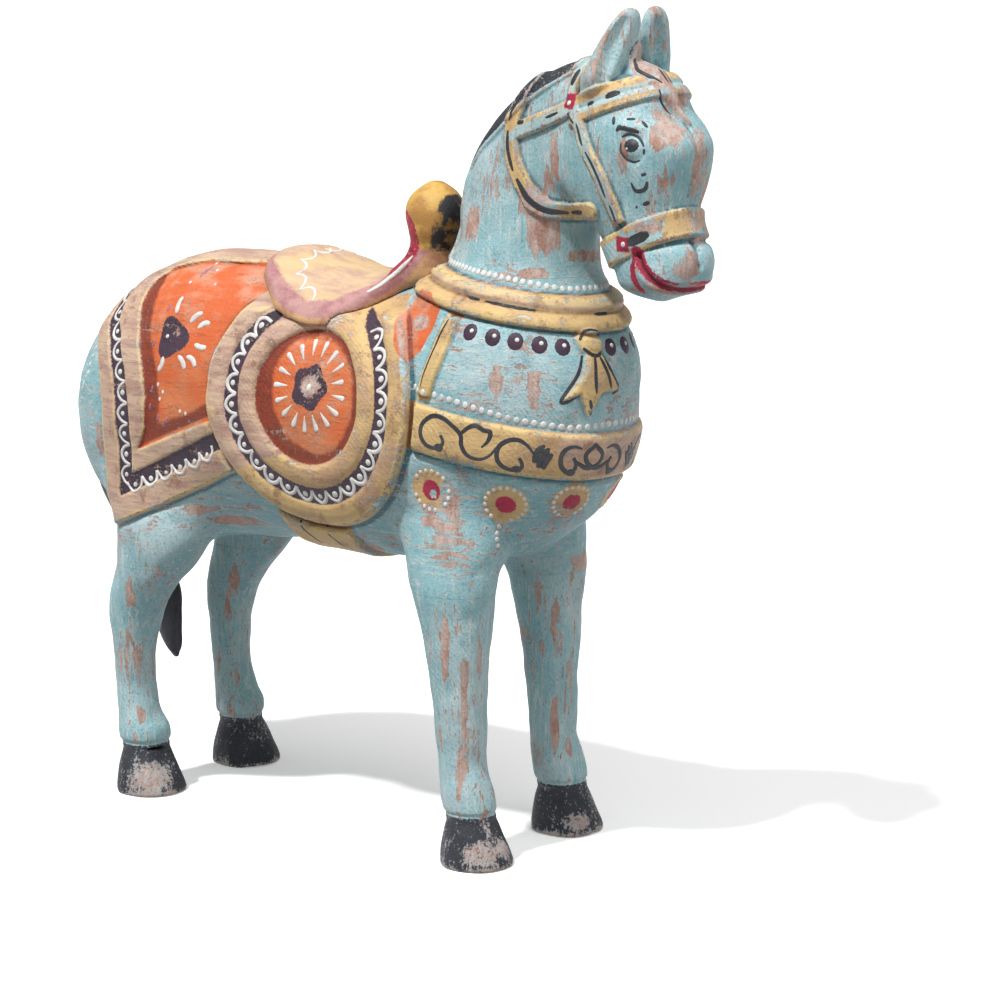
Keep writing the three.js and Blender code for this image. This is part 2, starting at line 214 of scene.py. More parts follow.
class Form:
    """A solid's signed distance in millimetres, kept on a coarse grid for any block to read."""

    def __init__(self, skin, step=2.0, band=FAR):
        points, quads = skin
        self.step = step
        self.grid = openvdb.FloatGrid.createLevelSetFromPolygons(
            points.astype(np.float32),
            quads=quads.astype(np.uint32),
            transform=openvdb.createLinearTransform(voxelSize=step),
            halfWidth=band / step,
        )

    def at(self, block):
        low = np.floor(block.start * block.voxel / self.step).astype(int)
        high = (block.start + np.array(block.shape)) * block.voxel
        high = np.ceil(high / self.step).astype(int) + 1
        values = np.empty(tuple(high - low + 1), np.float32)
        self.grid.copyToArray(values, ijk=tuple(int(i) for i in low))
        for axis in range(3):
            places = (block.start[axis] + np.arange(block.shape[axis])) * block.voxel
            at = places / self.step - low[axis]
            index = at.astype(int)
            shape = [1, 1, 1]
            shape[axis] = -1
            part = (at - index).astype(np.float32).reshape(shape)
            before, after = np.take(values, index, axis), np.take(values, index + 1, axis)
            values = before * (1 - part) + after * part
        return values


def melt(a, b, radius):
    """The smooth union of two distances."""
    h = np.clip(0.5 + 0.5 * (b - a) / radius, 0, 1)
    return b + (a - b) * h - radius * h * (1 - h)


def turned(points, back=False):
    """Turns points with the head, or back from it."""
    angle = -HEAD_TURN if back else HEAD_TURN
    c, s = math.cos(angle), math.sin(angle)
    out = np.array(points, float)
    x, y = out[..., 0] - HEAD_PIVOT, out[..., 1].copy()
    out[..., 0] = HEAD_PIVOT + c * x - s * y
    out[..., 1] = s * x + c * y
    return out


def turned_skin(skin):
    return turned(skin[0]), skin[1]


BODY_FORM = Form(loft(BODY, 2.15))
NECK_FORM = Form(loft(NECK))
HEAD_FORM = Form(turned_skin(loft(HEAD, 2.6)), 1.2, 16)


def limb_forms():
    """Each leg and its hoof."""
    for table in (FRONT_LEG, HIND_LEG):
        for side in (-1, 1):
            foot = [[x + table[0][0], side * LEG_Y, *rest] for x, _, *rest in HOOF]
            yield Form(loft(mirrored(table, side), 2.2), 1.2, 16), Form(loft(foot, 2.2), 1.0, 16)


LIMB_FORMS = list(limb_forms())


def limbs(block):
    """The distance to the nearest leg."""
    values = None
    for limb, foot in LIMB_FORMS:
        shape = melt(limb.at(block), foot.at(block), 1.5)
        values = shape if values is None else np.minimum(values, shape)
    return values


def rough_horse(block, *others):
    """The distance to the horse before any relief: the body and the other parts near the block."""
    shapes = {"neck": (NECK_FORM.at, 22), "head": (HEAD_FORM.at, 9), "legs": (limbs, 14)}
    values = BODY_FORM.at(block)
    for name in others:
        make, radius = shapes[name]
        values = melt(values, make(block), radius)
    return values


# ---------------------------------------------------------------- carved relief

# Outlines in the side view as [x, z] and in the front view as [y, z].
CLOTH = [
    [-136, 161], [-142, 181], [-141, 205], [-141, 229], [-144, 246], [-151, 261], [-160, 272],
    [-166, 290], [-168, 400], [30, 400], [30, 228], [-20, 211], [-52, 197.5], [-76, 186.5],
    [-97, 176.5], [-120, 167],
]
FIELD = [
    [-112, 209], [-104, 222], [-102, 240], [-106, 255], [-112, 270], [-118, 288], [-123, 302],
    [-113, 311], [-91, 316], [-50, 317], [-10, 317], [-10, 245], [-57, 230], [-86, 219],
]
STRAP = [[95, 256], [105, 256], [113, 280], [119, 303], [109, 304], [102, 280]]
LEAF = [
    [71, 297], [73, 306], [81, 312], [92, 311], [100, 304], [99, 293], [94, 281], [87, 275],
    [78, 283],
]
GIRTH = [[-17, 130], [-17, 190], [33, 190], [33, 130]]
FLAP_X, FLAP_Z, FLAP_RADIUS, FLAP_TOP = 19, 250, 73, 300
TASSEL_Y, TASSEL_KNOB_Z = -18.5, 289
TASSEL = [
    [-22, 285], [-27, 272], [-37, 259], [-29, 262], [-24, 250], [-16, 262], [-4, 263], [-11, 274],
    [-15, 285],
]

# Height of the carving over the bare form as [distance across, height], in millimetres. Distances
# run inwards as negative numbers from an outline, or upwards from the middle of a band.
CLOTH_PROFILE = [
    [-60, 2.5], [-25, 2.5], [-24, 1.2], [-15, 1.2], [-14, 2.5], [-7, 2.8], [-1.2, 2.4], [0.2, 0],
    [1, -1.1], [2.5, -0.7], [4.5, 0],
]
FLAP_PROFILE = [
    [-80, 2.6], [-38, 2.2], [-36.4, 2.4], [-35.4, 3.8], [-33.5, 4.9], [-29.5, 5.3], [-25.5, 4.9],
    [-24, 4.1], [-22.8, 3.4], [-13.6, 3.4], [-12.6, 4.3], [-11, 4.9], [-6.5, 5.3], [-2, 4.8],
    [-0.6, 3.8], [0.5, 0], [1.2, -1.2], [3, -0.8], [5, 0],
]
STRAP_PROFILE = [[-6, 2.6], [-2, 2.5], [-0.5, 1.8], [0.4, 0]]
BAND_PROFILE = [
    [-18, 0], [-15.5, -1.6], [-14, -1.5], [-13.2, 0.8], [-12, 2.5], [-9, 3.3], [0, 3.5], [9, 3.2],
    [12, 2.4], [13, 0.6], [13.6, 0],
]
COLLAR_PROFILE = [
    [-11, 0], [-9.4, -1], [-8.6, 0.6], [-7.6, 2.6], [-5.5, 3.5], [-3.4, 3.4], [-1, 2.2],
    [0.2, 1.4], [1.4, 2.3], [4, 3.7], [6.4, 3.2], [7.8, 1.9], [8.6, 0],
]
GIRTH_PROFILE = [[-25, 3], [-5, 3], [-1.2, 2.5], [0.3, 0], [1.5, -0.6], [3, 0]]


def smooth(low, high, value):
    """0 at low and 1 at high, smoothly; low may be the larger."""
    t = np.clip((value - low) / (high - low), 0, 1)
    return t * t * (3 - 2 * t)


def profile(table, across):
    """The height of the carving at distances across it."""
    return np.interp(across, *np.array(table, float).T)


def path_distance(path, u, v):
    """Distance from points in a plane to an open path."""
    nearest = np.inf
    for (u0, v0), (u1, v1) in zip(path[:-1], path[1:]):
        du, dv = u1 - u0, v1 - v0
        t = np.clip(((u - u0) * du + (v - v0) * dv) / (du * du + dv * dv), 0, 1)
        nearest = np.minimum(nearest, np.hypot(u - u0 - t * du, v - v0 - t * dv))
    return nearest


def outline_distance(outline, u, v):
    """Distance from points in a plane to a closed outline, negative inside."""
    closed = [*outline, outline[0]]
    inside = np.zeros(np.shape(u), bool)
    for (u0, v0), (u1, v1) in zip(closed[:-1], closed[1:]):
        if v0 != v1:
            inside ^= ((v0 > v) != (v1 > v)) & (u < u0 + (v - v0) / (v1 - v0) * (u1 - u0))
    nearest = path_distance(closed, u, v)
    return np.where(inside, -nearest, nearest)


def bell(distance, width):
    """1 at the middle of a groove or ridge, fading to 0 on both sides."""
    return np.exp(-(distance / width) ** 2)


def unevenness(x, y, z, size, height, seed):
    """Gentle hand-carved waviness: the same sum of plane waves on every run."""
    random = np.random.default_rng(seed)
    total = 0
    for _ in range(7):
        direction = random.normal(size=3)
        direction *= math.tau / (size * random.uniform(0.7, 1.6)) / np.linalg.norm(direction)
        phase = random.uniform(0, math.tau)
        total = total + np.sin(x * direction[0] + y * direction[1] + z * direction[2] + phase)
    return total * height / 2.6


def whittled(x, y, z):
    """Slow waves of the carver's hand, crossed by the crisp edges that the gouge leaves."""
    facets = np.abs(unevenness(x, y, z * 0.55, 24, 0.42, 9))
    return unevenness(x, y, z, 38, 0.4, 5) + unevenness(x, y, z, 13, 0.14, 6) + facets - 0.2


def band_height(x, z):
    """Height above the middle line of the chest band, square to it."""
    return (z - 241.5 + 0.165 * (x - 95)) * 0.987


def collar_height(x, z):
    return (z - 316 + 0.149 * (x - 84)) * 0.989


def collar_distance(x, z):
    return np.maximum(np.abs(collar_height(x, z)) - 8.6, 63 - x)


def with_collar(height, x, z):
    """Relief with the collar's in its place."""
    above = collar_height(x, z)
    collar = profile(COLLAR_PROFILE, above) * smooth(62, 67, x)
    return np.where((np.abs(above) < 11) & (x > 62), collar, height)


def body_regions(x, y, z):
    """Distances to the body's carved and painted regions, negative inside."""
    flap = np.hypot(x - FLAP_X, z - FLAP_Z) - FLAP_RADIUS
    flap = np.where(np.abs(y) < 22, NOWHERE, flap)
    cloth = outline_distance(CLOTH, x, z)
    field = outline_distance(FIELD, x, z)
    strap = outline_distance(STRAP, x, z)
    leaf = np.maximum(outline_distance(LEAF, x, z), 8 - np.abs(y))
    girth = outline_distance(GIRTH, x, z)
    band = np.maximum(np.abs(band_height(x, z)) - 13.2, 84 - x)
    knob = np.hypot(y - TASSEL_Y, z - TASSEL_KNOB_Z)
    tassel = np.where(x > 140, np.minimum(outline_distance(TASSEL, y, z), knob - 6.8), NOWHERE)
    collar = collar_distance(x, z)
    return flap, cloth, field, strap, leaf, girth, band, collar, tassel


def body_relief(x, y, z):
    flap, cloth, field, strap, leaf, girth, band, collar, tassel = body_regions(x, y, z)
    height = profile(CLOTH_PROFILE, cloth)
    height -= 1.8 * smooth(0.9, -0.9, field) * smooth(4, 8, np.abs(y))
    height = np.where(girth < 3, profile(GIRTH_PROFILE, girth), height)
    height = np.where(x > 60, np.maximum(height, profile(STRAP_PROFILE, strap)), height)
    height -= 0.7 * smooth(0.8, -0.8, leaf)
    bands = profile(BAND_PROFILE, band_height(x, z)) * smooth(84, 88, x)
    height = np.where(np.abs(band_height(x, z)) < 18, np.where(x > 84, bands, height), height)
    height = with_collar(height, x, z) + 1.9 * smooth(0.8, -0.9, tassel)
    knob = np.hypot(y - TASSEL_Y, z - TASSEL_KNOB_Z)
    height += np.where(x > 140, 1.6 * smooth(7, 2, knob), 0)
    raised = profile(FLAP_PROFILE, flap)
    on_flap = smooth(5, 0.5, flap) * smooth(FLAP_TOP + 2, FLAP_TOP - 6, z)
    return height + (raised - height) * on_flap + whittled(x, y, z)


# The bridle, on the head before it turns: side view paths as [x, z].
CHEEK_STRAP = [
    [175, 434], [176, 426], [176, 417], [178, 414], [183, 405], [192, 389], [200, 377], [205, 363],
    [209, 350], [210, 345],
]
BACK_STRAP = [[176, 411], [158, 404], [143, 398]]
THROAT_STRAP = [
    [146, 424], [143, 415], [138.5, 403], [138, 394], [140, 383], [146, 370], [152, 361],
    [158, 357], [168, 356], [190, 358],
]
FORELOCK = [[-4, 438], [-7, 428], [-6, 420], [-3, 412], [0, 404]]
EYE = (219.3, 391.5)
STUDS = ((176.5, 414), (210, 342))
MOUTH = [[219, 337], [223, 330], [228, 325], [233, 321.5], [238, 319], [252, 318]]
EAR_HOLLOW = [
    [198, 28, 422], [201.2, 26.8, 432], [203, 23.8, 442], [204.6, 19.8, 450], [205.4, 16.8, 456],
]
LEFT_EAR_HOLLOW = [
    [200.5, 12.6, 422], [203.4, 11.4, 432], [204.8, 9.8, 442], [206, 8.4, 450], [206.6, 7.8, 456],
]


def brow_height(x, z):
    return (z - 412 - 0.35 * (x - 187)) * 0.944


def nose_height(x, z):
    return (z - 340 - 0.42 * (x - 204)) * 0.922


def mane_distance(x, z):
    """How far a point lies in front of the painted mane's edge, negative on the mane."""
    middles, _, levels, depths, *_ = np.array(NECK, float).T
    middle, deep = np.interp(z, levels, middles), np.interp(z, levels, depths)
    heights = [300, 360, 375, 387, 398, 407, 415, 424, 440]
    edges = [-0.93, -0.88, -0.84, -0.68, -0.45, -0.30, -0.18, 0.06, 0.35]
    return (x - middle) - np.interp(z, heights, edges) * deep


def head_regions(x, y, z):
    """Distances to the regions of the neck and head, with x, y turned back to the straight head."""
    cheek = np.where(np.abs(y) > 9, path_distance(CHEEK_STRAP, x, z) - 3.9, 20)
    back = path_distance(BACK_STRAP, x, z) - 4.4
    throat = path_distance(THROAT_STRAP, x, z) - 4.6
    brow = np.maximum(np.abs(brow_height(x, z)) - 7.3, 177 - x)
    nose = np.maximum(np.abs(nose_height(x, z)) - 7.4, 176 - x)
    half = np.interp(z, [402, 425], [1.5, 7])
    lock = np.where(x > 196, path_distance(FORELOCK, y, z) - half, NOWHERE)
    return cheek, back, throat, brow, nose, lock


def strap_profile(distance, half, height):
    """A flat strap with rounded edges and a fine groove beside it."""
    rise = smooth(0.6, -0.8, distance) * height
    return rise - 0.7 * bell(distance - 1.2, 0.9)


def head_relief(x, y, z):
    """Relief of the neck and head; x, y, z are in the room and turned back here."""
    straight = turned(np.stack([x, y, z], axis=-1), back=True)
    hx, hy = straight[:, 0], straight[:, 1]
    side = np.abs(hy)
    cheek, back, throat, brow, nose, lock = head_regions(hx, hy, z)
    height = strap_profile(throat, 4.6, 2.4)
    height = np.maximum(height, strap_profile(back, 4.4, 2.0))
    brow_rise = smooth(0.6, -0.8, brow) * 2.1 - 0.9 * bell(brow_height(hx, z), 1.2)
    height = np.where(brow < 0.6, brow_rise, height)
    height = np.where(cheek < 2.2, np.maximum(strap_profile(cheek, 3.9, 2.6), height), height)
    height = np.where(nose < 2.5, strap_profile(nose, 7.4, 2.2), height)
    height = np.maximum(height, 3.4 * smooth(1.2, -3.5, lock))
    # The face: centre groove, eye, hollow cheek, muzzle lobes and mouth.
    face = smooth(215, 222, hx)
    height -= 1.3 * bell(hy + 1.5, 1.1) * face * smooth(362, 368, z) * smooth(408, 402, z)
    height -= 2.6 * bell(hy + 0.5, 2.2) * face * smooth(328, 332, z) * smooth(347, 343, z)
    to_eye = np.hypot(hx - EYE[0], z - EYE[1])
    on_side = smooth(12, 18, side)
    height -= 0.8 * bell(to_eye - 6.6, 1.9) * on_side
    height += 0.5 * smooth(5.5, 1, to_eye) * on_side
    height += 1.6 * bell(hx - 217, 9) * bell(z - 402, 3.2) * on_side
    height -= 2.4 * bell(hx - 214, 7) * bell(z - 373, 12) * on_side
    height -= 1.5 * bell(z - 335.5 - 0.252 * (hx - 204), 2.0) * smooth(206, 212, hx)
    mouth = path_distance(MOUTH, hx, z)
    height += 0.9 * bell(mouth - 3.4, 2.4) * smooth(205, 212, hx)
    height -= 1.7 * bell(mouth, 1.5)
    height += 1.4 * smooth(1.2, -1.2, mane_distance(x, z)) * smooth(322, 330, z)
    return with_collar(height, x, z) + whittled(x, y, z)


def carve(block, values, relief, band=8.0):
    """Raises or lowers the surface by the relief, worked out only near the surface."""
    near = np.nonzero(np.abs(values) < band)
    axes = (block.x, block.y, block.z)
    values[near] -= relief(*(axis.ravel()[index] for axis, index in zip(axes, near)))


def softened(values, reach):
    """The values averaged over reach voxels each way, to tell edges and creases from flat places."""
    soft = np.clip(values, -6, 6)
    for axis in range(3):
        total = soft.copy()
        for shift in range(1, reach + 1):
            total += np.roll(soft, shift, axis) + np.roll(soft, -shift, axis)
        soft = total / (2 * reach + 1)
    return soft


def sample(block, values, points):
    """The values at points, between voxels."""
    at = points / block.voxel - block.start
    low = np.clip(np.floor(at).astype(int), 0, np.array(block.shape) - 2)
    part = at - low
    total = 0
    for corner in range(8):
        step = np.array([corner & 1, corner >> 1 & 1, corner >> 2 & 1])
        weight = np.prod(np.where(step, part, 1 - part), axis=1)
        index = low + step
        total = total + weight * values[index[:, 0], index[:, 1], index[:, 2]]
    return total


# ---------------------------------------------------------------- pieces

def to_frame(points):
    """Sculpting millimetres to the frame's metres."""
    return (np.asarray(points) + FRAME_SHIFT) / 1000


def mesh_piece(name, points, faces, material, marks=None):
    """A smooth-shaded piece of quads, with its marks stored on the points for the materials."""
    mesh = bpy.data.meshes.new(name)
    mesh.vertices.add(len(points))
    mesh.vertices.foreach_set("co", to_frame(points).astype(np.float32).ravel())
    mesh.loops.add(len(faces) * 4)
    mesh.loops.foreach_set("vertex_index", np.asarray(faces, np.int32).ravel())
    mesh.polygons.add(len(faces))
    mesh.polygons.foreach_set("loop_start", np.arange(len(faces), dtype=np.int32) * 4)
    mesh.update(calc_edges=True)
    mesh.validate()
    for mark, numbers in (marks or {}).items():
        layer = mesh.attributes.new(mark, "FLOAT", "POINT")
        layer.data.foreach_set("value", np.asarray(numbers, np.float32))
    mesh.materials.append(material)
    mesh.shade_smooth()
    piece = bpy.data.objects.new(name, mesh)
    bpy.context.scene.collection.objects.link(piece)
    return piece


def declare(piece, slot, *nodes):
    """Parents the piece to the root's empty and hides the CAD nodes that it replaces; slot is not
    used.
    """
    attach(piece, "root")
    if nodes:
        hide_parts(*nodes)
    return piece


def worn_spots(points, spots):
    """How strongly each point lies in a rubbed patch: 1 in its middle, 0 outside."""
    most = np.zeros(len(points))
    for x, y, z, across, tall in spots:
        beside = np.hypot(points[:, 0] - x, points[:, 1] - y)
        away = np.hypot(beside / across, (points[:, 2] - z) / tall)
        most = np.maximum(most, smooth(1, 0.3, away))
    return most


def trimmed(piece, x_low, x_high, z, keep_above):
    """Saws the part of a piece between two X positions flat at a height, and caps it."""
    work = bmesh.new()
    work.from_mesh(piece.data)
    low, high = to_frame((x_low, 0, 0))[0], to_frame((x_high, 0, 0))[0]
    reached = [v for v in work.verts if low < v.co.x < high]
    # Dictionaries keep their order, so the mesh comes out the same on every run.
    faces = list(dict.fromkeys(f for v in reached for f in v.link_faces))
    edges = list(dict.fromkeys(e for f in faces for e in f.edges))
    verts = list(dict.fromkeys(v for f in faces for v in f.verts))
    bmesh.ops.bisect_plane(
        work, geom=verts + edges + faces, plane_co=(0, 0, z / 1000), plane_no=(0, 0, 1),
        clear_outer=not keep_above, clear_inner=keep_above)
    bmesh.ops.holes_fill(work, edges=[e for e in work.edges if e.is_boundary], sides=0)
    bmesh.ops.recalc_face_normals(work, faces=work.faces)
    work.to_mesh(piece.data)
    work.free()
    piece.data.set_sharp_from_angle(angle=math.radians(50))


def sculpted(name, block, values, material, slot, node, marks):
    """Meshes the carved block and marks its creases, edges and downward-facing places; returns the
    piece and its surface.
    """
    points, quads = block.surface(values)
    crisp = sample(block, softened(values, max(1, round(2.2 / block.voxel))), points)
    soft = softened(values, 1)
    # The low mark grows on downward-facing places; the paints darken there as painted shade.
    step = np.array([0, 0, 1.6])
    low = (sample(block, soft, points - step) - sample(block, soft, points + step)) / 3.2
    notes = {"crisp": crisp, "low": low, **marks(points)}
    piece = declare(mesh_piece(name, points, quads, material, notes), slot, node)
    return piece, BVHTree.FromPolygons(points.tolist(), quads.tolist())
# ---------------------------------------------------------------- materials

# The studio light is brighter than white paper needs, so the floor is white and paint is set darker.
PAINT_SHARE = 0.76
DRY_PAINT_GLOSS = 0.35


def tint(red, green, blue):
    """A linear colour from the 0 to 255 values that it should show in the studio light."""
    def linear(value):
        value /= 255
        return PAINT_SHARE * (value / 12.92 if value <= 0.04045 else ((value + 0.055) / 1.055) ** 2.4)
    return (linear(red), linear(green), linear(blue), 1)


class Nodes:
    """One material's node tree, built from small reusable steps."""

    def __init__(self, name):
        self.material = bpy.data.materials.new(name)
        self.material.use_nodes = True
        self.tree = self.material.node_tree
        self.shader = self.tree.nodes["Principled BSDF"]
        self.place = self.make("ShaderNodeTexCoord").outputs["Object"]

    def make(self, kind, **settings):
        node = self.tree.nodes.new(kind)
        for key, value in settings.items():
            setattr(node, key, value)
        return node

    def feed(self, socket, value):
        if isinstance(value, bpy.types.NodeSocket):
            self.tree.links.new(value, socket)
        else:
            socket.default_value = value

    def mark(self, name):
        return self.make("ShaderNodeAttribute", attribute_name=name).outputs["Fac"]

    def math(self, operation, *values):
        node = self.make("ShaderNodeMath", operation=operation)
        for socket, value in zip(node.inputs, values):
            self.feed(socket, value)
        return node.outputs[0]

    def times(self, a, b):
        return self.math("MULTIPLY", a, b)

    def add(self, *terms):
        """The sum of the terms; a pair is a value and its weight."""
        values = [self.times(*term) if isinstance(term, tuple) else term for term in terms]
        total = values[0]
        for value in values[1:]:
            total = self.math("ADD", total, value)
        return total

    def step(self, value, low, high):
        """0 at low and 1 at high, smoothly; low may be the larger."""
        node = self.make("ShaderNodeMapRange", interpolation_type="SMOOTHSTEP", clamp=True)
        flip = low > high
        first, last = (high, low) if flip else (low, high)
        settings = (value, first, last, float(flip), float(not flip))
        for key, setting in zip(("Value", "From Min", "From Max", "To Min", "To Max"), settings):
            self.feed(node.inputs[key], setting)
        return node.outputs[0]

    def noise(self, scale, stretch=(1, 1, 1), detail=4.0, rough=0.6, shift=0.0):
        """Noise about 0.5; scale is in lumps per metre."""
        mapping = self.make("ShaderNodeMapping")
        self.feed(mapping.inputs["Vector"], self.place)
        mapping.inputs["Scale"].default_value = stretch
        mapping.inputs["Location"].default_value = (shift, shift * 0.7, shift * 1.3)
        node = self.make("ShaderNodeTexNoise")
        settings = (mapping.outputs[0], scale, detail, rough)
        for key, setting in zip(("Vector", "Scale", "Detail", "Roughness"), settings):
            self.feed(node.inputs[key], setting)
        return node.outputs["Fac"]

    def mix(self, factor, a, b):
        node = self.make("ShaderNodeMix", data_type="RGBA")
        self.feed(node.inputs["Factor"], factor)
        self.feed(node.inputs[6], a)
        self.feed(node.inputs[7], b)
        return node.outputs[2]

    def over(self, color, tone, amount, strength):
        """Lays a tone over a colour, as far as the amount times the strength says."""
        return self.mix(self.times(amount, strength), color, tone)

    def finish(self, color, rough, height, strength, distance):
        bump = self.make("ShaderNodeBump")
        bump.inputs["Strength"].default_value = strength
        bump.inputs["Distance"].default_value = distance
        self.feed(bump.inputs["Height"], height)
        self.feed(self.shader.inputs["Base Color"], color)
        self.feed(self.shader.inputs["Roughness"], rough)
        self.feed(self.shader.inputs["Normal"], bump.outputs[0])
        self.shader.inputs["Specular IOR Level"].default_value = DRY_PAINT_GLOSS
        return self.material


LIGHT_AQUA, AQUA, TEAL = tint(192, 218, 222), tint(156, 202, 208), tint(112, 168, 180)
DEEP_TEAL, CHALK = tint(44, 92, 106), tint(228, 234, 232)
PALE_WOOD, WOOD, DARK_WOOD = tint(216, 194, 184), tint(190, 156, 142), tint(120, 82, 68)
RED_WOOD, GOLD_EDGE_HIGHLIGHT = tint(178, 122, 100), tint(248, 220, 150)
WHITE_PAINT, WORN_BLACK, PALE_ORANGE = tint(238, 238, 234), tint(178, 182, 184), tint(228, 176, 150)
# Each paint's main tone, a second tone it wanders to, and a dark tone: painted shade in its creases,
# and on gold also dirty smudges.
PAINTS = {
    "gold": (tint(230, 196, 136), tint(208, 166, 122), tint(124, 80, 60)),
    "faded": (tint(222, 190, 164), tint(200, 160, 142), tint(126, 86, 78)),
    "purple": (tint(76, 54, 72), tint(44, 32, 48), tint(24, 16, 26)),
    "orange": (tint(228, 108, 54), tint(230, 140, 92), tint(136, 46, 26)),
    "rust": (tint(148, 60, 38), tint(98, 36, 26), tint(60, 20, 14)),
    "crimson": (tint(190, 40, 76), tint(160, 28, 60), tint(92, 14, 34)),
    "black": (tint(38, 40, 48), tint(56, 58, 66), tint(16, 16, 20)),
    "aqua": (tint(176, 212, 214), tint(204, 216, 212), tint(70, 120, 132)),
}
# Heights in metres between which streaks turn: level above the legs, upright again up the neck.
LEG_TURN, NECK_TURN = (0.175, 0.135), (0.318, 0.336)


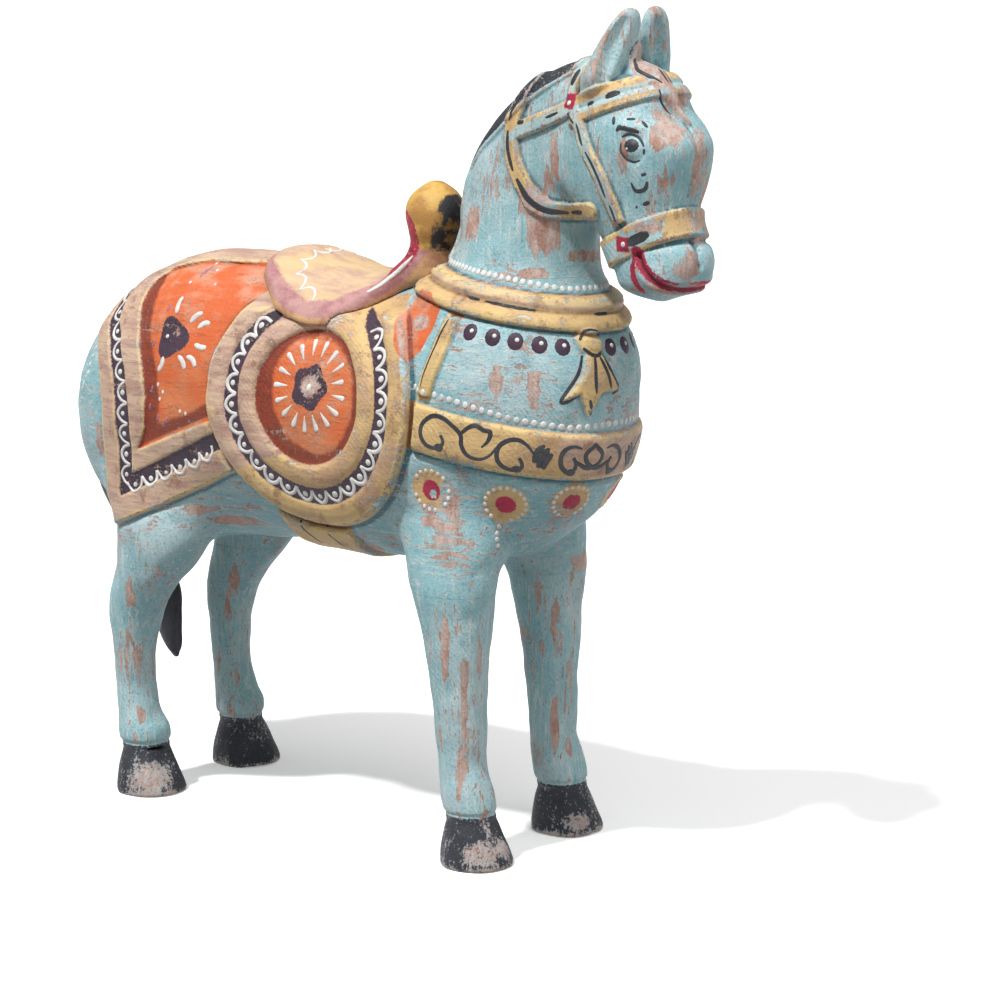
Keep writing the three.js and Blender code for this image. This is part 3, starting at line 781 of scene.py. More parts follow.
def aged_paint(name, layers, wood_shows=0.5, rubbed=0.0):
    """Old layered paint over carved wood: tones wander, edges are rubbed, and creases and
    downward-facing places are darkened as painted shade.

    Layers name marks in millimetres, negative where that paint lies; rubbed wears them more.
    """
    n = Nodes(name)
    crisp, low, worn = n.mark("crisp"), n.mark("low"), n.mark("bare")
    edge = n.step(crisp, 0.10, 0.75)
    # Concave places, where every paint is darkened as painted shade.
    crease_shade = n.step(crisp, -0.10, -0.9)
    # Downward-facing places, where the coat turns teal and the wood redder as painted shade.
    underside_shade = n.step(low, 0.05, 0.75)
    broad = n.noise(16, detail=3)
    patch = n.noise(42, (1, 1, 0.7), 5, 0.65, 3.1)
    parts = n.make("ShaderNodeSeparateXYZ")
    n.feed(parts.inputs[0], n.place)
    upright = n.add(n.step(parts.outputs["Z"], *LEG_TURN), n.step(parts.outputs["Z"], *NECK_TURN))
    level = n.math("SUBTRACT", 1.0, upright)

    def brushed(scale, thin, shift):
        """Streaks that run down the legs, neck and face, and from chest to tail between them."""
        down = n.noise(scale, (1, 1, thin), 5, 0.7, shift)
        along = n.noise(scale, (thin * 1.6, 0.5, 1), 5, 0.7, shift + 1.6)
        return n.add((down, upright), (along, level))

    streak = brushed(170, 0.10, 7.7)
    thin = brushed(430, 0.08, 6.3)
    fine = n.noise(620, (1, 1, 1), 4, 0.75, 1.7)
    grit = n.noise(1500, (1, 1, 1), 2, 0.6, 4.4)
    smudge = n.noise(75, (1, 1, 0.8), 4, 0.7, 12.5)

    # Wood: pinkish and greyed, with grain lines, redder in random patches and a little redder on
    # downward-facing places as painted shade.
    grain = n.noise(420, (0.9, 0.9, 0.12), 4, 0.7, 5.2)
    ruddy = n.add(n.noise(120, (1, 1, 0.6), 3, 0.6, 8.1), (underside_shade, 0.14))
    wood = n.mix(n.step(grain, 0.35, 0.68), PALE_WOOD, WOOD)
    wood = n.over(wood, RED_WOOD, n.step(ruddy, 0.50, 0.62), 0.6)
    wood = n.over(wood, DARK_WOOD, n.step(fine, 0.5, 0.72), 0.55)

    # Base coat: aqua that wanders between lighter and teal, with dry pale brushing, teal painted
    # shade on downward-facing places and deep teal painted shade in creases.
    coat = n.mix(n.step(n.add((broad, 0.7), (patch, 0.3)), 0.42, 0.60), AQUA, LIGHT_AQUA)
    for tone, amount, strength in (
            (TEAL, n.step(n.add((patch, 0.6), (fine, 0.5)), 0.52, 0.70), 0.75),
            (LIGHT_AQUA, n.step(n.add(streak, (fine, 0.5)), 0.76, 0.92), 0.65),
            (TEAL, n.step(n.add((smudge, 0.7), (fine, 0.4)), 0.60, 0.72), 0.55),
            (CHALK, n.step(n.add((smudge, -0.7), (grit, 0.4)), -0.10, 0.02), 0.45),
            (TEAL, n.step(fine, 0.50, 0.66), 0.6),
            (TEAL, underside_shade, 0.55),
            (CHALK, n.step(n.add(thin, (fine, 0.3)), 0.69, 0.76), 0.85),
            (DEEP_TEAL, n.step(n.add(thin, (smudge, 0.3)), 0.54, 0.48), 0.3),
            (DEEP_TEAL, crease_shade, 0.85)):
        coat = n.over(coat, tone, amount, strength)

    # Rubbed places: patches broken up by streaks, more on edges and where hands and knocks reach,
    # with a chalky rim of ground coat, and scattered thin nicks.
    rub = n.add((patch, 0.46), (streak, 0.62), (thin, 0.40), (fine, 0.26), (edge, 0.12), (worn, 0.19),
                (broad, 0.16))
    worn_at = 1.085 - 0.09 * (wood_shows - 0.5)
    rim = n.times(n.step(rub, worn_at - 0.045, worn_at - 0.01), n.step(fine, 0.42, 0.60))
    nick = n.step(n.add(thin, (patch, 0.5), (fine, 0.2)), 0.945, 0.98)
    bare = n.math("MAXIMUM", n.step(rub, worn_at, worn_at + 0.02), nick)
    color = n.mix(bare, n.over(coat, CHALK, rim, 0.85), wood)

    wobble = n.times(n.math("SUBTRACT", n.add((fine, 1.4), (patch, 0.8)), 1.1), 2.2)
    speck = n.add((fine, 0.6), (streak, 0.3), (thin, 0.25), (patch, 0.35), (edge, 0.12), (worn, 0.30))
    for layer in layers:
        main, second, dark = PAINTS[layer]
        cover = n.step(n.add(n.mark(layer), wobble), 0.35, -0.35)
        held = 0.92 if layer == "crimson" else 0.84
        hold = n.step(speck, held + 0.06 - rubbed, held - rubbed)
        tone = n.mix(n.step(n.add((broad, 0.4), (patch, 0.6)), 0.42, 0.62), main, second)
        tone = n.over(tone, second, n.step(fine, 0.48, 0.72), 0.5)
        if layer == "gold":
            dull = n.step(n.add(n.mark("faded"), (patch, 1.3)), 0.72, 1.25)
            tone = n.mix(dull, tone, n.mix(n.step(streak, 0.4, 0.6), *PAINTS["faded"][:2]))
            # Crisp raised gold edges get a painted highlight.
            tone = n.over(tone, GOLD_EDGE_HIGHLIGHT, n.step(crisp, 0.08, 0.45), 0.7)
            tone = n.over(tone, dark, n.step(n.add(smudge, (grit, 0.3)), 0.72, 0.80), 0.5)
        if layer == "orange":
            # Orange turns paler in random patches and streaks, more on upward-facing places and less
            # on downward-facing ones.
            chalky = n.step(n.add((low, -0.25), (patch, 0.6), (streak, 0.4)), 0.58, 0.76)
            tone = n.over(tone, PALE_ORANGE, chalky, 0.6)
            deep = n.add(n.mark("rust"), (n.math("SUBTRACT", patch, 0.5), 10.0), (fine, 1.5))
            off_lip = n.math("SUBTRACT", 1.0, n.step(n.mark("lip"), 3.4, 2.2))
            rust = n.mix(n.step(n.add((fine, 0.6), (streak, 0.4)), 0.42, 0.62), *PAINTS["rust"][:2])
            tone = n.over(tone, rust, n.times(n.step(deep, 2.0, -1.0), off_lip), 0.92)
        # Painted shade: every paint darkens in the creases.
        tone = n.over(tone, dark, crease_shade, 0.9)
        under = wood
        if layer == "black":
            under = n.mix(n.step(fine, 0.44, 0.58), wood, WORN_BLACK)
        elif layer in ("gold", "crimson"):
            under = n.mix(n.step(patch, 0.45, 0.6), wood, coat)
        color = n.mix(cover, color, n.mix(hold, under, tone))

    # Brush marks, faint rasp ridges and grit in the paint; bare wood lies a little lower.
    wave = n.make(
        "ShaderNodeTexWave", wave_type="BANDS", bands_direction="DIAGONAL", wave_profile="SIN")
    n.feed(wave.inputs["Vector"], n.place)
    for key, setting in (
            ("Scale", 170), ("Distortion", 9.0), ("Detail", 3.0), ("Detail Scale", 0.35)):
        wave.inputs[key].default_value = setting
    ridges = n.times(wave.outputs["Fac"], n.step(n.noise(24, detail=2, shift=2.2), 0.46, 0.62))
    bump = n.add((ridges, 0.16), (fine, 0.8), (streak, 0.6), (thin, 0.7), (bare, -0.55), (grit, 0.25))
    return n.finish(color, n.add((fine, 0.25), 0.42), bump, 0.8, 0.0008)


def thick_paint(name, main, second):
    """Raised strokes of a single paint, a little uneven and dirty."""
    n = Nodes(name)
    fine = n.noise(900, (1, 1, 1), 4, 0.7)
    patch = n.noise(90, (1, 1, 1), 3, 0.6, 2.0)
    color = n.mix(n.step(n.add((fine, 0.6), (patch, 0.5)), 0.50, 0.72), main, second)
    return n.finish(color, n.add((fine, 0.3), 0.35), fine, 0.5, 0.0003)


def bare_wood(name):
    n = Nodes(name)
    grain = n.noise(500, (1, 1, 0.1), 5, 0.7)
    rings = n.noise(120, (1, 1, 0.3), 2, 0.5, 3.0)
    color = n.mix(n.step(grain, 0.38, 0.66), tint(190, 148, 108), tint(142, 98, 66))
    color = n.over(color, tint(112, 74, 48), n.step(rings, 0.5, 0.7), 0.5)
    return n.finish(color, n.add((grain, 0.2), 0.55), grain, 0.6, 0.0004)


# ---------------------------------------------------------------- brush strokes

# How far out each ring of a dab is and how high, and the same for the points round a stroke.
DAB_RINGS = ((0.9, -0.5), (1, 0.02), (0.88, 0.6), (0.5, 0.95), (0.08, 1.0))
STROKE_PITCH = 0.8
STROKE_SECTION = (
    (-1, -0.5), (-1, 0.1), (-0.55, 0.85), (0, 1), (0.55, 0.85), (1, 0.1), (1, -0.5), (0, -0.6))


class Brush:
    """Raised strokes and dabs of one paint, laid on a carved surface."""

    def __init__(self, surface, rise):
        self.surface = surface
        self.rise = rise
        self.points = []
        self.faces = []

    def on(self, point, lift):
        found, normal, _, _ = self.surface.find_nearest(point)
        return found + normal * lift

    def skin(self, rings):
        """Closes a row of equal rings of points into a body of quads."""
        first = len(self.points)
        around = len(rings[0])
        for ring in rings:
            self.points.extend(tuple(p) for p in ring)
        for row in range(len(rings) - 1):
            for spoke in range(around):
                a = first + row * around + spoke
                b = first + row * around + (spoke + 1) % around
                self.faces.append((a, b, b + around, a + around))
        for row, step in ((0, -1), (len(rings) - 1, 1)):
            base = first + row * around
            for spoke in range(around // 2 - 1):
                across = base + around - 1 - spoke
                self.faces.append((base + spoke, base + spoke + 1, across - 1, across)[::step])

    def dab(self, point, across, tall=None, rise=None):
        """A round or upright oval spot."""
        tall, rise = tall or across, rise or self.rise
        found, normal, _, _ = self.surface.find_nearest(Vector(point))
        up = Vector((0, 0, 1)) - normal * normal.z
        up = (up if up.length > 0.1 else Vector((1, 0, 0))).normalized()
        side = up.cross(normal)
        rings = []
        for share, lift in DAB_RINGS:
            ring = []
            for spoke in range(12):
                angle = spoke / 12 * math.tau
                u, v = math.cos(angle) * across * share, math.sin(angle) * tall * share
                ring.append(self.on(found + side * u + up * v, lift * rise))
            rings.append(ring)
        self.skin(rings)

    def stroke(self, path, width, start=0.5, end=0.5, ramp=4.0):
        """A stroke along a path; start and end are its width there as a share of the full width.

        A larger ramp reaches the full width sooner.
        """
        path = np.array(path, float)
        total = np.linalg.norm(np.diff(path, axis=0), axis=1).sum()
        count = max(6, int(total / STROKE_PITCH))
        path = between(path, count) if len(path) > 2 else np.linspace(path[0], path[1], count)
        laid = [self.surface.find_nearest(Vector(p)) for p in path]
        rings, last = [], len(laid) - 1
        for index, (found, normal, _, _) in enumerate(laid):
            ahead = laid[min(index + 1, last)][0] - laid[max(index - 1, 0)][0]
            if ahead.length < 1e-6:
                continue
            side = normal.cross(ahead.normalized())
            along = index / last
            taper = min(1.0, start + (1 - start) * along * ramp, end + (1 - end) * (1 - along) * ramp)
            half = width / 2 * taper
            ring = []
            for out, lift in STROKE_SECTION:
                ring.append(self.on(found + side * half * out, lift * self.rise * max(0.4, taper)))
            rings.append(ring)
        self.skin(rings)

    def piece(self, name, material, slot):
        points = np.array([tuple(p) for p in self.points])
        return declare(mesh_piece(name, points, self.faces, material), slot)


def struck(surface, start, way):
    """The point that a ray meets first, or None."""
    return surface.ray_cast(Vector(start), Vector(way))[0]


def from_side(surface, x, z, side):
    """The point seen from that side: -1 right, 1 left."""
    return struck(surface, (x, side * 120, z), (0, -side, 0))


def round_chest(surface, angle, z):
    """The point met towards the chest's middle; angle in degrees, 0 ahead, -90 on the right."""
    u, v = math.cos(math.radians(angle)), math.sin(math.radians(angle))
    return struck(surface, (122 + 160 * u, 160 * v, z), (-u, -v, 0))


def on_band(surface, angle, above, height=band_height):
    """A point on a slanted band, by its angle round the chest and height above the middle line."""
    z = 235
    for _ in range(4):
        point = round_chest(surface, angle, z)
        z += above - height(point.x, z)
    return round_chest(surface, angle, z)


def on_head(surface, start, way):
    """A point of the straight head, found on the turned one."""
    turned_way = turned((HEAD_PIVOT + way[0], way[1], 0)) - turned((HEAD_PIVOT, 0, 0))
    return struck(surface, turned(start), turned_way)


def head_side(surface, x, z, side):
    return on_head(surface, (x, side * 90, z), (0, -side))


def lay(brush, place, flat_path, width, **ends):
    """A stroke along a flat path, as far as place finds its points on a surface."""
    path = [p for p in (place(*at) for at in flat_path) if p is not None]
    if len(path) > 1:
        brush.stroke(path, width, **ends)


def ring_of(radius, count, start=0.0):
    """Points of a circle about 0, 0."""
    for i in range(count):
        angle = start + i / count * math.tau
        yield math.cos(angle) * radius, math.sin(angle) * radius


def scallops(path, pitch, low, high):
    """Arcs along a plane path, from cusps at low to bulges at high on its left, and their middles."""
    path = between(path, 200)
    lengths = np.concatenate([[0], np.cumsum(np.linalg.norm(np.diff(path, axis=0), axis=1))])
    count = max(1, round(lengths[-1] / pitch))
    arcs, dots = [], []
    for arc in range(count):
        share = (arc + np.linspace(0, 1, 9)) / count * lengths[-1]
        swell = np.sin(np.linspace(0, math.pi, 9)) ** 0.6
        x, z = np.interp(share, lengths, path[:, 0]), np.interp(share, lengths, path[:, 1])
        ahead = np.stack([np.gradient(x), np.gradient(z)], axis=-1)
        ahead /= np.linalg.norm(ahead, axis=1)[:, None]
        out = low + (high - low) * swell
        arcs.append(np.stack([x - ahead[:, 1] * out, z + ahead[:, 0] * out], axis=-1))
        middle = low * 0.55 + high * 0.45
        dots.append((x[4] - ahead[4, 1] * middle, z[4] + ahead[4, 0] * middle))
    return arcs, dots
# ---------------------------------------------------------------- the horse

# Medallions as [x, y, z, radius], on both sides.
CHEST_MEDALS = [[102, 57, 207, 12.5], [142, 44, 201, 12.5], [168, 19.5, 202, 12]]
# The flap's painted field begins this far in from its edge; the flowers are painted at these [x, z].
FLAP_FIELD = 36.2
FLAP_FLOWER = (20, 256)
CLOTH_FLOWER = (-87, 275)
# Rubbed patches as [x, y, z, across, tall].
BODY_SPOTS = [
    [144, -54, 268, 5, 14], [162, -46, 265, 5, 15], [86, -50, 296, 10, 8], [86, 50, 296, 10, 8],
    [100, -56, 191, 10, 12], [113, -55, 203, 8, 16], [112, -56, 178, 22, 20], [20, -62, 257, 9, 8],
    [-84, -60, 280, 8, 7], [103, -57, 205, 4, 4], [20, 62, 257, 9, 8], [-56, -35, 170, 26, 6],
    [-147, -56, 210, 7, 18], [38, -23, 164, 16, 6], [-74, -49, 176, 16, 5], [129, 48, 156, 18, 10],
    [144, 54, 262, 10, 16], [-10, 50, 178, 24, 7],
]
NECK_SPOTS = [
    [161, -28, 384, 6, 22], [152, -25, 344, 16, 16], [148, -27, 358, 14, 18],
    [168, -4, 332, 26, 5.5], [150, -29, 323, 14, 5], [109, -28, 346, 10, 18],
    [156, -25, 372, 5, 12], [160, 22, 350, 12, 18],
]
FACE_SPOTS = [
    [238, 3, 385, 11, 28], [230, -14, 396, 14, 15], [231, -16, 378, 8, 14], [224, -19, 352, 10, 6],
    [236, 9, 346, 10, 6], [226, 6, 416, 9, 9], [214, -29, 386, 6, 18], [240, -6, 331, 13, 13],
    [233, 14, 372, 9, 18],
]
LEG_SPOTS = [
    [113, -59, 122, 4, 34], [122, -54, 92, 4, 40], [127, -45, 118, 4, 26], [119, -54, 50, 4, 22],
    [106, -57, 66, 4, 20], [122, 30, 120, 5, 26], [126, 42, 98, 4, 30], [120, 31, 62, 4, 22],
    [124, 38, 44, 4, 14], [-122, -59, 120, 5, 20], [-128, -56, 90, 4, 18], [-121, -52, 72, 4, 24],
    [-124, -50, 46, 4, 14], [-119, 28, 120, 5, 20], [-127, 30, 92, 4, 22], [-123, 34, 62, 4, 20],
    [110, 57, 110, 5, 30], [-130, 57, 100, 5, 30], [133, -55, 10, 16, 10], [140, -38, 12, 10, 10],
    [139, 30, 9, 14, 7], [-112, -56, 12, 18, 13],
]
# Where the hooves' black ends and the groove above it, on the front and the hind legs.
HOOF_TOP, HOOF_GROOVE = (28.0, 29.0), (29, 30.2)


def lobed(x, z, middle, radius, lobes, depth):
    """Distance to a small painted blotch with rounded lobes."""
    u, v = x - middle[0], z - middle[1]
    return np.hypot(u, v) - radius - depth * np.cos(lobes * np.arctan2(v, u))


def body_marks(points):
    """The distances and amounts that the body's paint reads at each point."""
    x, y, z = points.T
    flap, cloth, field, strap, leaf, girth, band, collar, tassel = body_regions(x, y, z)
    medal = heart = np.full(len(x), NOWHERE)
    for mx, my, mz, radius in CHEST_MEDALS:
        away = np.sqrt((x - mx) ** 2 + (np.abs(y) - my) ** 2 + (z - mz) ** 2)
        medal = np.minimum(medal, away - radius)
        heart = np.minimum(heart, away - radius * 0.46)
    gold = np.minimum.reduce([cloth, flap, strap, girth, band, collar, tassel, medal])
    cloth_band = np.maximum(np.abs(cloth + 19.5) - 4.9, 0.5 - flap)
    flap_band = np.abs(flap + 18.2) - 4.7 + 0.5 * np.maximum(0, z - 290)
    flap_band = np.where(flap < 0, flap_band, NOWHERE)
    side = np.abs(y) > 12
    flower = np.minimum(
        np.where(side, lobed(x, z, FLAP_FLOWER, 12, 5, 1.2), NOWHERE),
        np.where(side & (flap > 0), lobed(x, z, CLOTH_FLOWER, 11, 3, 1.8), NOWHERE))
    purple = np.minimum.reduce([cloth_band, flap_band, flower])
    flap_field = np.where(np.abs(y) > 22, flap + FLAP_FIELD, NOWHERE)
    cloth_field = np.maximum(np.maximum(field, 0.5 - flap), 5.5 - np.abs(y))
    orange = np.minimum.reduce([cloth_field, flap_field, leaf])
    lip = np.where(flap < 0, 10, (z - 218 - 0.4 * (x + 86)) * 0.93)
    lip = np.where((x > 60) | (lip < 0), 0, lip)
    faded = np.clip(
        0.75 * smooth(0.5, -1, cloth) + 0.15 * smooth(0, -2, flap)
        + 0.7 * smooth(2, -2, np.abs(collar_height(x, z) - 4.5) - 3) * (x > 62)
        + 0.6 * smooth(168, 180, x) * smooth(2, -2, band), 0, 1)
    # Rust lies deepest at the rear and low edges of the cloth's field, and low behind in the flap's.
    toward = np.cos(np.arctan2(z - FLAP_Z, x - FLAP_X) - math.radians(215))
    flap_rust = -(flap + FLAP_FIELD) - 4.5 - 8 * np.maximum(0, toward)
    cloth_rust = path_distance(FIELD[6::-1] + FIELD[:-4:-1], x, z) - 9
    return {
        "gold": gold, "purple": purple, "orange": orange, "crimson": heart,
        "lip": lip, "faded": faded,
        "rust": np.where(leaf < 1, NOWHERE, np.where(flap < 0, flap_rust, cloth_rust)),
        "bare": np.maximum(worn_spots(points, BODY_SPOTS), 0.1 * smooth(1, -1, heart + 2)),
    }


def head_marks(points):
    straight = turned(points, back=True)
    x, y, z = straight.T
    cheek, back, throat, brow, nose, lock = head_regions(x, y, z)
    gold = np.minimum.reduce([cheek, back, throat, brow, nose, collar_distance(points[:, 0], z)])
    studs = [np.maximum(np.abs(x - sx) * 0.9, np.abs(z - sz)) - 3.9 for sx, sz in STUDS]
    studs = np.where(np.abs(y) > 10, np.minimum(*studs), NOWHERE)
    mouth = path_distance([[x, z + 1.4] for x, z in MOUTH], x, z) - 3.3
    corner = path_distance([[218, 335], [215.5, 330], [216, 325], [219, 319]], x, z) - 2.2
    blob = np.hypot(x - 219, z - 334.5) - 4
    lips = np.where(x > 205, np.minimum.reduce([mouth, corner, blob]), NOWHERE)
    mane = np.where((z > 322) & (x <= 188), mane_distance(x, z), NOWHERE)
    back_of_lock = np.where((x > 200) & (z > 430), np.hypot(y + 4, z - 438) - 7, NOWHERE)
    bare = np.maximum(worn_spots(points, NECK_SPOTS), worn_spots(straight, FACE_SPOTS))
    bare = np.maximum(bare, 0.9 * smooth(1, -3, lock))
    faded = 0.25 * smooth(0.5, -1, np.minimum(nose, cheek))
    faded += 0.5 * smooth(-4, 8, y) * (np.minimum(nose, brow) < 1)
    # The straps' middles are rubbed back to aqua between gold edges.
    middles = np.minimum.reduce([
        path_distance(CHEEK_STRAP, x, z) - 1.9, path_distance(BACK_STRAP, x, z) - 1.9,
        np.abs(brow_height(x, z) + 0.6) - 2.6,
        np.maximum(np.abs(nose_height(x, z) + 0.8) - 4.4, x - 232)])
    return {
        "gold": gold, "crimson": np.minimum(studs, lips), "black": np.minimum(mane, back_of_lock),
        "bare": bare, "faded": faded, "aqua": np.where(gold < 0, middles, NOWHERE),
    }


def leg_marks(points):
    z = points[:, 2]
    top = np.where(points[:, 0] > 0, *HOOF_TOP)
    bare = worn_spots(points, LEG_SPOTS) * np.where(z < top, 0.5, 1)
    return {"black": z - top, "bare": bare}


body_paint = aged_paint("body_paint", ["gold", "orange", "purple", "crimson"], 0.9, 0.02)
head_paint = aged_paint("head_paint", ["gold", "aqua", "black", "crimson"], 0.95, 0.04)
leg_paint = aged_paint("leg_paint", ["black"], 1.1, 0.05)
white_paint = thick_paint("white_paint", WHITE_PAINT, tint(206, 200, 196))
black_strokes = thick_paint("black_strokes", tint(38, 40, 46), tint(74, 74, 78))
purple_strokes = thick_paint("purple_strokes", tint(70, 46, 66), tint(44, 28, 44))
lilac_strokes = thick_paint("lilac_strokes", tint(176, 120, 150), tint(140, 90, 116))

body_block = Block((-203, -70, 132), (192, 70, 328), 1.0)
values = rough_horse(body_block, "neck", "legs")
carve(body_block, values, body_relief)
piece, body = sculpted(
    "horse_body", body_block, values, body_paint, "painted_wood", "body_block", body_marks)
trimmed(piece, 40, 200, FRONT_SEAM + SEAM / 2, True)
trimmed(piece, -200, -40, HIND_SEAM + SEAM / 2, True)
trimmed(piece, 66, 200, NECK_SEAM - SEAM / 2, False)

head_block = Block((75, -52, 306), (252, 46, 464), FINE)
values = rough_horse(head_block, "neck", "head")
for side, table, hollow, radius in ((-1, EAR, EAR_HOLLOW, 6.0), (1, LEFT_EAR, LEFT_EAR_HOLLOW, 5.0)):
    ear = Form(turned_skin(loft(mirrored(table, side))), 0.8, 8).at(head_block)
    # The hollow is a row of balls, smaller towards its ends.
    sizes = radius * np.sin(np.linspace(0.4, math.pi - 0.25, 15)) ** 0.5
    cut = np.full(ear.shape, NOWHERE, np.float32)
    for (x, y, z), size in zip(turned(between(mirrored(hollow, side), 14)), sizes):
        reach = (head_block.x - x) ** 2 + (head_block.y - y) ** 2 + (head_block.z - z) ** 2
        cut = np.minimum(cut, np.sqrt(reach) - size)
    values = melt(values, -melt(-ear, cut, 1.2), 2)
carve(head_block, values, head_relief)
piece, head = sculpted(
    "horse_neck_and_head", head_block, values, head_paint, "painted_wood", "neck_and_head",
    head_marks)
trimmed(piece, 60, 188, NECK_SEAM + SEAM / 2, True)


def leg_relief(x, y, z):
    """The carver's waves, and the groove above each hoof."""
    return whittled(x, y, z) - 0.9 * bell(z - np.where(x > 0, *HOOF_GROOVE), 1.1)


for name, x_range, seam in (("front", (78, 146), FRONT_SEAM), ("hind", (-172, -78), HIND_SEAM)):
    for side, word in ((-1, "right"), (1, "left")):
        y_range = sorted((side * 12, side * 70))
        block = Block((x_range[0], y_range[0], -3), (x_range[1], y_range[1], seam + 5), FINE)
        values = rough_horse(block, "legs")
        carve(block, values, leg_relief)
        node = f"{name}_leg_{word}"
        piece, _ = sculpted(
            f"horse_{node}", block, values, leg_paint, "painted_wood", node, leg_marks)
        trimmed(piece, -200, 200, seam - SEAM / 2, False)
        trimmed(piece, -200, 200, 0, True)

tail_block = Block((-214, -12, 66), (-135, 12, 235), FINE)
values = Form(loft(TAIL), 1.0, 8).at(tail_block)
carve(tail_block, values, lambda x, y, z: 0.3 * np.sin(y * 1.7 + 0.03 * z) + whittled(x, y, z))
# The tail stops short of the rump.
values = np.maximum(values, 0.9 - rough_horse(tail_block))
sculpted(
    "horse_tail", tail_block, values, aged_paint("tail_paint", ["black"], rubbed=-0.3), "black_paint",
    "tail", lambda points: {"black": np.full(len(points), -6.0), "bare": np.zeros(len(points))})

# ---------------------------------------------------------------- saddle

# The seat's lower edge in the side view, [x, z].
SEAT_EDGE = [
    [-45, 324], [-32, 308], [-20, 298.5], [-5, 291], [12, 287.5], [26, 288.5], [38, 293],
    [46, 300], [56, 312], [66, 326],
]


def seat_edge(x):
    """The height of the seat's lower edge."""
    return np.interp(x, *np.array(SEAT_EDGE, float).T)


def seat_half(x, beyond):
    """Half the seat's width, and the value beyond its ends."""
    return np.interp(x, *np.array(SEAT_OUTLINE, float).T, left=beyond, right=beyond)


def saddle_marks(points):
    x, y, z = points.T
    above = z - seat_edge(x)
    rim = np.minimum(seat_half(x, 0) - np.abs(y) - 9, x + 42)
    pommel = np.hypot(np.hypot(x - 60, y), (z - 350) * 0.9) - 22
    strip = np.maximum(np.abs((x - 50) * 0.8 + (z - 322) * 0.55) - 6.5, 10 - above)
    blotch = np.hypot((x - 50) * 1.2, (z - 336) * 0.8) - 12
    crimson = np.minimum(np.maximum(strip, -pommel - 6), np.maximum(blotch, -pommel - 7))
    dark = np.maximum(pommel, 68 - x + 0.25 * (z - 340))
    return {"rim": rim, "lower": above - 5, "pommel": pommel, "crimson": crimson, "black": dark}


def saddle_paint():
    """Mauve-pink rim, worn beige-gold seat, gold pommel with crimson and black patches."""
    n = Nodes("saddle_paint")
    crisp = n.mark("crisp")
    edge, crease_shade = n.step(crisp, 0.1, 0.8), n.step(crisp, -0.1, -0.9)
    broad = n.noise(26, detail=3)
    patch = n.noise(70, (1, 1, 1), 5, 0.65, 3.1)
    fine = n.noise(620, (1, 1, 1), 4, 0.75, 1.7)
    brush = n.noise(160, (0.3, 1, 1), 4, 0.7, 4.1)
    wobble = n.times(n.math("SUBTRACT", n.add((fine, 1.2), (patch, 1.4)), 1.3), 4.0)

    def within(mark, share, reach):
        """Where a mark's paint lies, with the share of the wobble on its outline."""
        return n.step(n.add(n.mark(mark), (wobble, share)), reach, -reach)

    seat = n.mix(n.step(brush, 0.38, 0.62), tint(226, 194, 158), tint(206, 168, 146))
    seat = n.over(seat, tint(234, 204, 150), n.step(broad, 0.45, 0.6), 0.7)
    rim = n.mix(n.step(patch, 0.4, 0.62), tint(200, 150, 146), tint(172, 112, 118))
    rim = n.over(rim, tint(218, 182, 168), n.step(fine, 0.5, 0.7), 0.4)
    rim = n.over(rim, tint(176, 44, 82), n.step(n.add((patch, 0.6), (fine, 0.4)), 0.60, 0.66), 0.6)
    gold = n.mix(n.step(patch, 0.42, 0.6), tint(224, 182, 96), tint(190, 140, 74))
    crimson = n.mix(n.step(patch, 0.45, 0.6), tint(184, 40, 78), tint(150, 30, 52))
    color = n.mix(within("rim", 1.0, 1.5), seat, rim)
    color = n.mix(within("lower", 0.3, 0.6), color, n.mix(0.45, gold, rim))
    color = n.mix(within("pommel", 0.5, 0.6), color, gold)
    color = n.over(color, crimson, within("crimson", 1.0, 0.8), n.step(fine, 0.66, 0.56))
    color = n.over(color, tint(46, 44, 48), within("black", 1.0, 0.8), n.step(patch, 0.62, 0.5))
    rubbed = n.step(n.add((fine, 0.6), (patch, 0.4), (edge, 0.16)), 0.60, 0.68)
    color = n.over(color, tint(178, 128, 100), rubbed, 0.7)
    # Creases darken to brown as painted shade.
    color = n.over(color, tint(74, 40, 34), crease_shade, 0.85)
    bump = n.add((fine, 0.8), (brush, 0.8))
    return n.finish(color, n.add((fine, 0.25), 0.40), bump, 0.7, 0.0007)


saddle_block = Block((-60, -54, 282), (84, 54, 372), FINE)
values = Form(loft(SEAT), 1.2, 16).at(saddle_block)
values = -melt(-values, seat_half(saddle_block.x, -20) - np.abs(saddle_block.y), 3.5)
values = -melt(-values, saddle_block.z - seat_edge(saddle_block.x), 3.0)
values = melt(values, Form(loft(POMMEL), 1.0, 16).at(saddle_block), 8)
carve(saddle_block, values, whittled)
# The seat rests on the carved cloth, a hair above it.
under = rough_horse(saddle_block, "neck")
carve(saddle_block, under, body_relief)
values = np.maximum(values, 0.5 - under)
_, saddle = sculpted(
    "horse_saddle", saddle_block, values, saddle_paint(), "saddle_paint", "saddle", saddle_marks)

dowel_wood = bare_wood("dowel_wood")
for name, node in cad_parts.items():
    if name.startswith("dowel"):
        node.data.materials.clear()
        node.data.materials.append(dowel_wood)

# ---------------------------------------------------------------- painted ornament

chance = np.random.default_rng(3)
white = Brush(body, 0.45)
black = Brush(body, 0.22)
purple = Brush(body, 0.2)
lilac = Brush(body, 0.25)
head_white = Brush(head, 0.5)
head_black = Brush(head, 0.25)

# The middle lines of the dark bands of the cloth's border, behind and below, and of the flap's.
CLOTH_LINES = [
    [[-151, 300], [-147, 291], [-137, 278], [-128.5, 261], [-122.5, 243], [-121.5, 217], [-122, 196],
     [-122.5, 187]],
    [[-120, 185.5], [-90, 197.5], [-72, 204.5], [-53, 213.5]],
]
FLAP_LINE = [[FLAP_X + 55 * math.cos(a), FLAP_Z + 55 * math.sin(a)]
             for a in np.radians(np.linspace(-228, 47, 60))]

